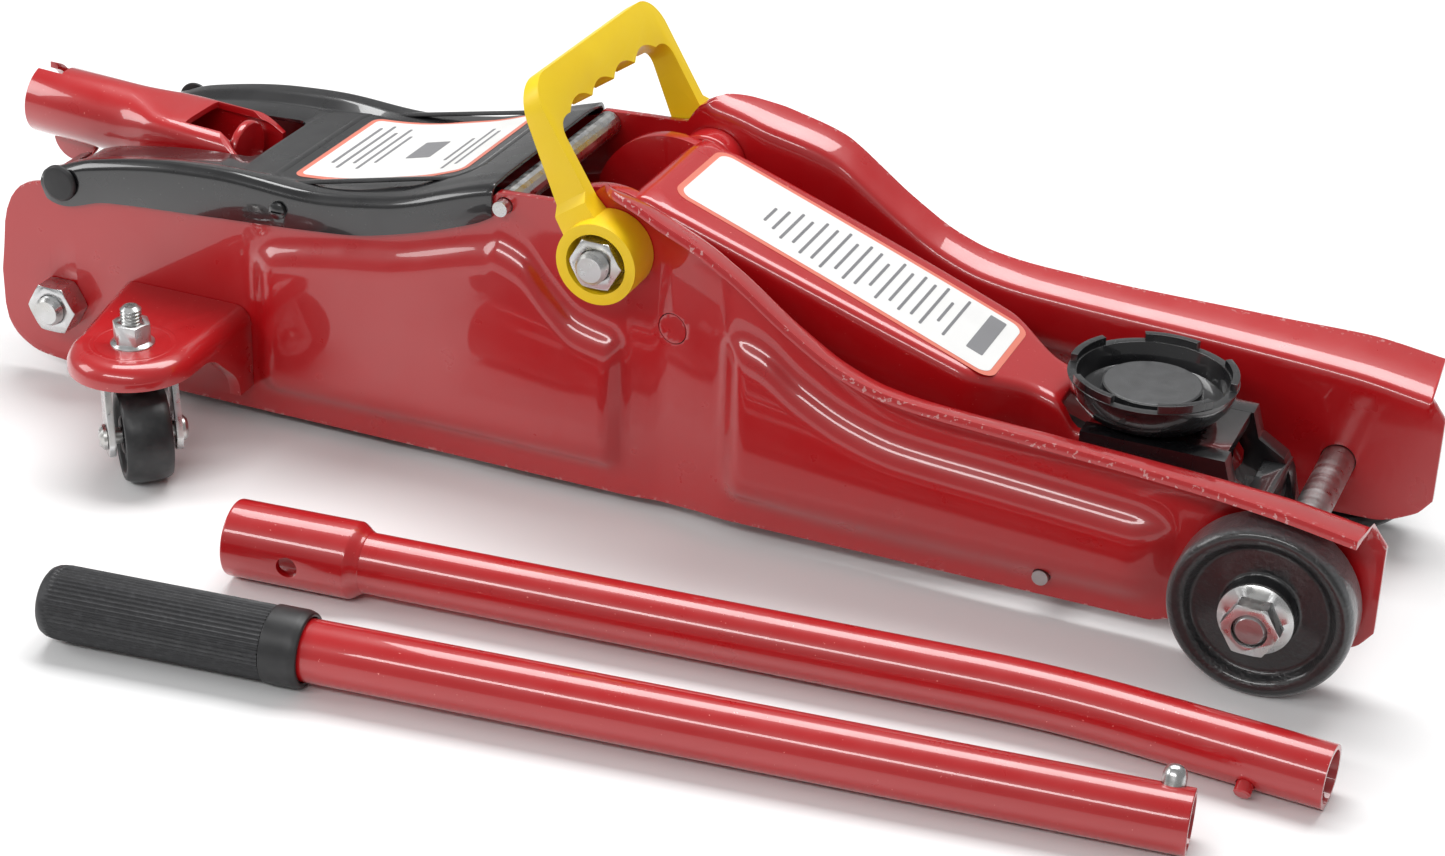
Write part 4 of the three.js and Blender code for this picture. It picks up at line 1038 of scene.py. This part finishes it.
def socket_ring(x, squareness, inset):
    """Ring that changes from a circle (0) to a rounded rectangle (1)."""
    ring = []
    count = 72
    for i in range(count):
        a = (i + 0.5) * 2 * math.pi / count + math.pi / 2
        cos, sin = math.cos(a), math.sin(a)
        radius = SOCKET_RADIUS - inset
        wide = (FORK_HALF_WIDTH - inset) * math.copysign(abs(cos) ** 0.45, cos)
        high = (FORK_HALF_HEIGHT - inset) * math.copysign(abs(sin) ** 0.45, sin)
        y = radius * cos + squareness * (wide - radius * cos)
        z = radius * sin + squareness * (high - radius * sin)
        ring.append((x, y, z + SOCKET_LIFT))
    return ring


def socket_skin(name, inset, overrun):
    squareness = smooth([(-52, 0), (-44, 0.06), (-36, 0.4), (-28, 0.85), (-21, 1)])
    stations = [SOCKET_MOUTH - overrun] + steps(-54, -20, 2) + [SOCKET_FRONT + overrun]
    return loft(name, [socket_ring(x, squareness(x), inset) for x in stations], SOCKET)


def handle_socket():
    socket = socket_skin("socket", 0, 0)
    join(socket, rod("tab", 10, -1.5, 1.5, at=(-72, 0, -10), place=SOCKET))
    past_front = SOCKET_FRONT + 5
    slope = [(0, 17.5), (past_front, 4), (past_front, 30), (0, 30)]
    cut(
        socket, socket_skin("bore", SOCKET_WALL, 3),
        block("opening", (-13, -FORK_OPENING_HALF, 4), (past_front, FORK_OPENING_HALF, 30), SOCKET),
        prism("slope", slope, "Y", -30, 30, SOCKET),
        block("entry", (SOCKET_MOUTH - 2, -4.2, 14), (-79, 4.2, 30), SOCKET),
        block("turn", (-83.5, -4.2, 12), (-76, 11, 30), SOCKET),
        rod("pin_hole", 5.3, -40, 40, place=SOCKET),
    )
    piece(socket, RED, "handle_socket", ["handle_socket"], bevel=0.5, angle=40)


def socket_web():
    half = FORK_OPENING_HALF - GAP
    outline = [(-half, 1), (4 - half, -4.7), (half - 4, -4.7), (half, 1), *arc(0, 4, half, 0, 180, 32)]
    web = prism("web", outline, "X", 5.6, 9.1, SOCKET)
    piece(web, RED, "handle_socket", ["socket_web"], bevel=1.2, angle=30, segments=3)


handle_socket()
socket_web()


# ---------- casters ----------

SHELF_TOP = 50.4
CASTER = {"x": -431.5, "y": 94, "trail": 14, "radius": 19, "heading": -48}
BRACKET_EASE = 7  # radius of the bracket's soft top edge
FORK_INNER = 11.4
FORK_OUTER = 13.9
FORK_TOP = SHELF_TOP - SHEET - GAP - 0.4


def caster_bracket(side, mirror):
    x, y = CASTER["x"], CASTER["y"]

    def plan(radius, left, right, wall):
        return [(left, wall), (right, wall), *arc(x, y, radius, 0, 180, 36)]

    # rings that rise from the skirt's foot and draw in towards the shelf
    rings = [[(px, py, 16.6) for px, py in plan(25, -467, -408, OUTSIDE)]]
    for quarter in [math.pi / 2 * i / 8 for i in range(9)]:
        inset = BRACKET_EASE * (1 - math.cos(quarter))
        height = SHELF_TOP - BRACKET_EASE + BRACKET_EASE * math.sin(quarter)
        outline = plan(25 - inset, -467 + inset, -408 - inset, OUTSIDE)
        rings.append([(px, py, height) for px, py in outline])
    bracket = loft("bracket_" + side, rings, mirror)
    under = [(OUTSIDE + 10, 10), (130, 10), (130, 41.5), (78, 41.5), (OUTSIDE + 11, 24)]
    inner_plan = plan(20, -462, -413, OUTSIDE - 5)
    cut(
        bracket, prism("hollow", inner_plan, "Z", 10, SHELF_TOP - SHEET, mirror),
        prism("under", soften(under, 6, closed=True), "X", -480, -390, mirror),
        rod("stud_hole", 4.3, 30, 60, "Z", at=(x, y, 0), place=mirror),
    )
    node = f"caster_bracket_{side}"
    piece(bracket, RED, "chassis", [node], bevel=0.8, angle=45, segments=3)
    ring = soften([(13.5, 49.8), (14.3, 50.5), (16.4, 50.5), (17.4, 49.8)], 0.5)
    ring += [(17.4, 49.4), (13.5, 49.4)]
    seat = lathe(f"bracket_ring_{side}", ring, "Z", mirror @ Matrix.Translation((x, y, 0)), 96)
    piece(seat, RED, "chassis")


def caster(side, sign):
    swivel = (Matrix.Translation((CASTER["x"], sign * CASTER["y"], 0))
              @ Matrix.Rotation(-sign * math.radians(CASTER["heading"]), 4, "Z"))
    axle = (CASTER["trail"], 0, CASTER["radius"])
    body = f"caster_swivel_{side}"
    fork = rod(f"fork_{side}", 14.5, FORK_TOP - 2.5, FORK_TOP, "Z", place=swivel)
    foot = arc(axle[0], axle[2], 8, 180, 360, 24)
    leg = [(3, FORK_TOP - 1), (axle[0] - 8, axle[2]), *foot, (14, FORK_TOP - 1)]
    legs = [prism("leg", leg, "Y", *sorted((s * FORK_INNER, s * FORK_OUTER)), swivel) for s in (-1, 1)]
    shoulders = block("shoulders", (0, -FORK_OUTER, FORK_TOP - 2.5), (14, FORK_OUTER, FORK_TOP), swivel)
    stud = rod("stud", 4, FORK_TOP - 2, 54, "Z", place=swivel, segments=32)
    join(fork, shoulders, *legs, stud)
    cut(fork, rod("axle_hole", 3.3, -20, 20, at=axle, place=swivel))
    piece(fork, ZINC, body, [f"caster_fork_{side}"], bevel=0.6, angle=40)
    end = [(0, 54.2), *threaded(54.2, 65.2, 4.1, 1.25), (2.6, 65.8), (0, 65.8)]
    piece(lathe(f"stud_thread_{side}", end, "Z", swivel, 40), ZINC, body)
    half = [(3.3, 8.5), (7, 8.5), (8, 6), (14, 6), (15, 9), (17.2, 9), (18.4, 6.5), (CASTER["radius"], 2.5)]
    outline = soften(half + [(r, -y) for r, y in reversed(half)], 1, closed=True)
    wheel = lathe(f"caster_wheel_{side}_disc", outline, "Y", swivel @ Matrix.Translation(axle), 96)
    piece(wheel, NYLON, f"caster_wheel_{side}", [f"caster_wheel_{side}"])
    head = [(3, 14.2), (5, 14.2), (4.8, 15.4), (3.4, 16.6), (0, 17)]
    rivet_outline = list(reversed(head)) + [(r, -y) for r, y in head]
    rivet = lathe(f"rivet_{side}", rivet_outline, "Y", swivel @ Matrix.Translation(axle), 48)
    piece(rivet, ZINC, body, [f"caster_axle_{side}"])
    low = SHELF_TOP - 1.5 + GAP
    flange = [(4.3, low), (8.5, low), (8.4, low + 1.6), (7, low + 2.6), (4.3, low + 2.6)]
    nut(f"caster_lock_nut_{side}", 13, 4.3, low + 2, low + NUT_HEIGHT, body, [f"caster_nut_{side}"], swivel,
        "Z", flange)


for side, sign in SIDES:
    caster_bracket(side, side_place(sign))
    caster(side, sign)


# ---------- carry handle ----------

CARRY = Matrix.Translation((ARM_PIVOT.x, 0, ARM_PIVOT.z)) @ Matrix.Rotation(math.radians(-33.75), 4, "Y")
CARRY_TOP = 68.2
CARRY_BAR = 18
CARRY_INNER = OUTSIDE + 0.2
CARRY_OUTER = 53.4
CARRY_FOOT = 64


def both_sides(name, radius, inner, outer, segments):
    """The same rod on the left and on the right of the carry handle."""
    spans = [(-outer, -inner), (inner, outer)]
    return [rod(name, radius, low, high, place=CARRY, segments=segments) for low, high in spans]


def curve(start, control, end, pieces=10):
    """Points of a quadratic curve, without its first point."""
    points = []
    for k in range(1, pieces + 1):
        t = k / pieces
        points.append(tuple(
            (1 - t) ** 2 * a + 2 * t * (1 - t) * b + t * t * c for a, b, c in zip(start, control, end)
        ))
    return points


def carry_bow():
    """Outline in Y and Z of the leaning handle before its legs are tapered."""
    corner = 13
    under = CARRY_TOP - CARRY_BAR
    right = [(CARRY_FOOT, 0), (CARRY_FOOT, 10), (58, 14), (57, 21), (CARRY_OUTER, 24)]
    bow = list(right)
    bow += arc(CARRY_OUTER - corner, CARRY_TOP - corner, corner, 0, 90, 16)
    bow += arc(corner - CARRY_OUTER, CARRY_TOP - corner, corner, 90, 180, 16)
    bow += mirrored(right)
    here = (-CARRY_INNER, under - 6)
    bow += [(-CARRY_INNER, 0), here]
    bow += curve(here, (1 - CARRY_INNER, under + 1), (10 - CARRY_INNER, under))
    scallops = 4
    width = 2 * (CARRY_INNER - 10) / scallops
    for i in range(scallops):
        start = 10 - CARRY_INNER + i * width
        bow += curve((start, under), (start + width / 2, under + 7), (start + width, under), 14)
    bow += curve((CARRY_INNER - 10, under), (CARRY_INNER - 1, under + 1), (CARRY_INNER, under - 6))
    bow.append((CARRY_INNER, 0))
    return bow


def carry_handle():
    handle = prism("carry", carry_bow(), "X", -20, 20, CARRY)
    front = [(9.5, -20), (9.5, 0), (6.4, 10), (4.7, 20), (7.6, 80), (30, 80), (30, -20)]
    rear = [(-9.5, -20), (-9.5, 20), (0.8, CARRY_TOP), (1.2, 80), (-30, 80), (-30, -20)]
    cut(handle, prism("front", front, "Y", -90, 90, CARRY), prism("rear", rear, "Y", -90, 90, CARRY))
    join(handle, *both_sides("eye", 15.6, CARRY_INNER, CARRY_FOOT, 96))
    cut(handle, rod("bore", M12_BORE, -80, 80, place=CARRY), *both_sides("recess", 11.6, NUT_SEAT, 80, 64))
    piece(
        handle, YELLOW, "carry_handle", ["carry_handle"], bevel=1.5, angle=35,
        segments=4,
    )


carry_handle()


# ---------- loose two-piece handle ----------

TUBE_RADIUS = 11
TUBE_WALL = 1.8


def laid_down(x, y, heading, ring_at, ring_radius, length):
    """Place of a tube that rests on its widest ring and on its far end."""
    drop = math.asin((ring_radius - TUBE_RADIUS) / (length - ring_at))
    height = ring_radius + ring_at * math.tan(drop) + 0.05
    turn = Matrix.Rotation(math.radians(heading), 4, "Z") @ Matrix.Rotation(drop, 4, "Y")
    return Matrix.Translation((x, y, height)) @ turn


LOWER_LENGTH = 394
LOWER_BEND_AT = 301
LOWER_BEND = math.radians(-9.1)
SLEEVE_LENGTH = 48
SLEEVE_RADIUS = 14.1
LOWER = laid_down(-353.5, -151.2, 5.8, SLEEVE_LENGTH, SLEEVE_RADIUS, LOWER_LENGTH)


def bent_tube(name, radius, start, overrun):
    half_bend = 30
    count = 64
    stations = ([start - overrun] + steps(LOWER_BEND_AT - half_bend, LOWER_BEND_AT + half_bend, 3)
                + [LOWER_LENGTH + overrun])
    rings = []
    for along in stations:
        past = min(max((along - LOWER_BEND_AT + half_bend) / (2 * half_bend), 0), 1)
        heading = LOWER_BEND * past
        sideways = LOWER_BEND * (half_bend * past * past + max(along - LOWER_BEND_AT - half_bend, 0))
        ring = []
        for i in range(count):
            a = (i + 0.5) * 2 * math.pi / count
            across = radius * math.cos(a)
            ring.append((along - across * math.sin(heading), sideways + across * math.cos(heading),
                         radius * math.sin(a)))
        rings.append(ring)
    return loft(name, rings, LOWER)


def lower_handle():
    tube = bent_tube("lower_tube", TUBE_RADIUS, SLEEVE_LENGTH - 6, 0)
    sleeve = [(0, 0), (SLEEVE_RADIUS - 0.4, 0), (SLEEVE_RADIUS, 0.5), (SLEEVE_RADIUS, SLEEVE_LENGTH - 1),
              (SLEEVE_RADIUS - 1, SLEEVE_LENGTH + 0.6), (TUBE_RADIUS + 0.8, SLEEVE_LENGTH + 2.4),
              (TUBE_RADIUS, SLEEVE_LENGTH + 4), (0, SLEEVE_LENGTH + 4)]
    join(tube, lathe("sleeve", soften(sleeve, 0.6), "X", LOWER, 72))
    pin_at = LOWER_LENGTH - 25
    pin_place = (LOWER @ Matrix.Translation((pin_at, LOWER_BEND * (pin_at - LOWER_BEND_AT), 0))
                 @ Matrix.Rotation(LOWER_BEND, 4, "Z") @ Matrix.Rotation(math.radians(34), 4, "X"))
    cut(
        tube, rod("sleeve_bore", 11.5, -2, SLEEVE_LENGTH - 4, "X", place=LOWER),
        bent_tube("tube_bore", TUBE_RADIUS - TUBE_WALL, SLEEVE_LENGTH - 10, 4),
        rod("cross_hole", 4, -20, 0, at=(26, 0, 0), place=LOWER, segments=32),
        rod("pin_hole", 3 + GAP, -15.1, -TUBE_RADIUS + 2.5, place=pin_place, segments=32),
    )
    piece(tube, RED, "lower_handle", ["lower_handle_tube"], bevel=0.3, angle=40)
    pin = [(0, -14.8), (2.4, -14.8), (3, -14.2), (3, -8.8), (0, -8.8)]
    cross_pin = lathe("lower_pin", pin, "Y", pin_place, 40)
    piece(cross_pin, RED, "lower_handle", ["lower_handle_pin"])


UPPER_LENGTH = 397
GRIP_END = 83.7
COLLAR_END = 97.5
COLLAR_RADIUS = 13.6
UPPER = laid_down(-388.8, -216.8, 6.7, COLLAR_END, COLLAR_RADIUS, UPPER_LENGTH)


def upper_handle():
    tube = [(TUBE_RADIUS - TUBE_WALL, 3), (TUBE_RADIUS, 3), (TUBE_RADIUS, UPPER_LENGTH - 0.3),
            (TUBE_RADIUS - 0.3, UPPER_LENGTH), (TUBE_RADIUS - TUBE_WALL, UPPER_LENGTH)]
    upper = lathe("upper_tube", tube, "X", UPPER, 96)
    button_place = (UPPER @ Matrix.Translation((UPPER_LENGTH - 7.5, 0, 0))
                    @ Matrix.Rotation(math.radians(-30), 4, "X"))
    cut(upper, rod("button_hole", 4.3, 0, 20, "Z", place=button_place, segments=40))
    piece(upper, RED, "upper_handle", ["upper_handle_tube"], bevel=0.2, angle=40)
    button = soften([(0, 4), (4, 4), (4, 14), (3.4, 15.9), (2, 17.1), (0, 17.5)], 0.8)
    knob = lathe("spring_button", button, "Z", button_place, 48)
    piece(knob, ZINC, "upper_handle_button", ["upper_handle_button"])


def ribbed_grip():
    """The grip: a rounded closed end, then flutes along its length."""
    bore = TUBE_RADIUS + GAP
    flutes, per_flute = 52, 6
    count = flutes * per_flute
    profile = [(0.2, 9.2), (0.5, 10.6), (1.4, 11.8), (3, 12.6), (4.6, 12.9), (5.6, 13.0), (6.4, 13.1),
               (GRIP_END - 1, 13.1), (GRIP_END, 13.0)]
    rings = []
    for along, radius in profile:
        depth = 0.55 if along > 5 else 0
        ring = []
        for i in range(count):
            a = (i + 0.5) * 2 * math.pi / count
            r = radius - depth * (0.5 - 0.5 * math.cos(2 * math.pi * (i % per_flute) / per_flute)) ** 0.7
            ring.append((along, r * math.cos(a), r * math.sin(a)))
        rings.append(ring)
    handle_grip = loft("fluted_grip", rings, UPPER)
    cut(handle_grip, rod("grip_bore", bore, 2.7, GRIP_END + 5, "X", place=UPPER))
    piece(handle_grip, RUBBER, "upper_handle", ["upper_handle_grip"], angle=60)
    collar = [(bore, GRIP_END + GAP), (COLLAR_RADIUS, GRIP_END + GAP), (COLLAR_RADIUS, COLLAR_END - 2.4),
              (12.8, COLLAR_END), (bore, COLLAR_END)]
    piece(lathe("grip_collar", soften(collar, 0.7, closed=True), "X", UPPER, 96), BLACK_SATIN, "upper_handle",
          ["upper_handle_collar"])


lower_handle()
upper_handle()
ribbed_grip()


# ---------- stage ----------

def floor():
    mesh = bpy.data.meshes.new("floor")
    reach, rise = 6, 4
    back = [(0, 0), (0.9, 0), (1.4, 0.12), (1.8, 0.5), (2.0, 1.1), (2.0, rise)]
    profile = [(-reach, 0)] + [(1.2 + y, z) for y, z in back]
    points = [(x, y, z) for y, z in profile for x in (-reach, reach)]
    faces = [(2 * i, 2 * i + 1, 2 * i + 3, 2 * i + 2) for i in range(len(profile) - 1)]
    mesh.from_pydata(points, [], faces)
    for polygon in mesh.polygons:
        polygon.use_smooth = True
    mesh.materials.append(floor_material())
    obj = bpy.data.objects.new("floor", mesh)
    bpy.context.scene.collection.objects.link(obj)


def softbox(name, location, target, width, height, power):
    light = bpy.data.lights.new(name, "AREA")
    light.shape = "RECTANGLE"
    light.size, light.size_y = width, height
    light.energy = power
    obj = bpy.data.objects.new(name, light)
    obj.location = location
    obj.rotation_mode = "QUATERNION"
    obj.rotation_quaternion = (Vector(target) - Vector(location)).to_track_quat("-Z", "Y")
    bpy.context.scene.collection.objects.link(obj)


def studio():
    world_light = bpy.data.worlds.new("studio")
    world_light.use_nodes = True
    background = world_light.node_tree.nodes["Background"]
    background.inputs["Color"].default_value = (1, 1, 1, 1)
    background.inputs["Strength"].default_value = 0.32
    bpy.context.scene.world = world_light
    bpy.context.scene.view_settings.view_transform = "Standard"
    middle = (0, 0, 0.05)
    softbox("overhead", (-0.1, 0.5, 1.4), middle, 1.5, 0.7, 24)
    softbox("front_strip", (-0.1, -1.5, 1.3), middle, 1.7, 0.22, 13)
    softbox("left_fill", (-1.6, -0.6, 0.9), middle, 0.7, 0.7, 8)


CAMERA_AZIMUTH = math.radians(22.16)
CAMERA_ELEVATION = math.radians(27.54)
CAMERA_ROLL = math.radians(1.94)
CAMERA_LOCATION = (0.40218, -0.89620, 0.55179)
FOCAL_LENGTH = 74.33
CAMERA_SHIFT = (0.0032, -0.0021)


def camera():
    level = math.cos(CAMERA_ELEVATION)
    back = Vector((
        math.sin(CAMERA_AZIMUTH) * level, -math.cos(CAMERA_AZIMUTH) * level, math.sin(CAMERA_ELEVATION),
    ))
    right = Vector((math.cos(CAMERA_AZIMUTH), math.sin(CAMERA_AZIMUTH), 0))
    up = back.cross(right)
    turned_right = math.cos(CAMERA_ROLL) * right + math.sin(CAMERA_ROLL) * up
    turned_up = -math.sin(CAMERA_ROLL) * right + math.cos(CAMERA_ROLL) * up
    rotation = Matrix((turned_right, turned_up, back)).transposed().to_4x4()
    data = bpy.data.cameras.new("camera")
    data.lens = FOCAL_LENGTH
    data.sensor_width = 36
    data.shift_x, data.shift_y = CAMERA_SHIFT
    obj = bpy.data.objects.new("camera", data)
    obj.matrix_world = Matrix.Translation(CAMERA_LOCATION) @ rotation
    bpy.context.scene.collection.objects.link(obj)
    bpy.context.scene.camera = obj


floor()
studio()
camera()
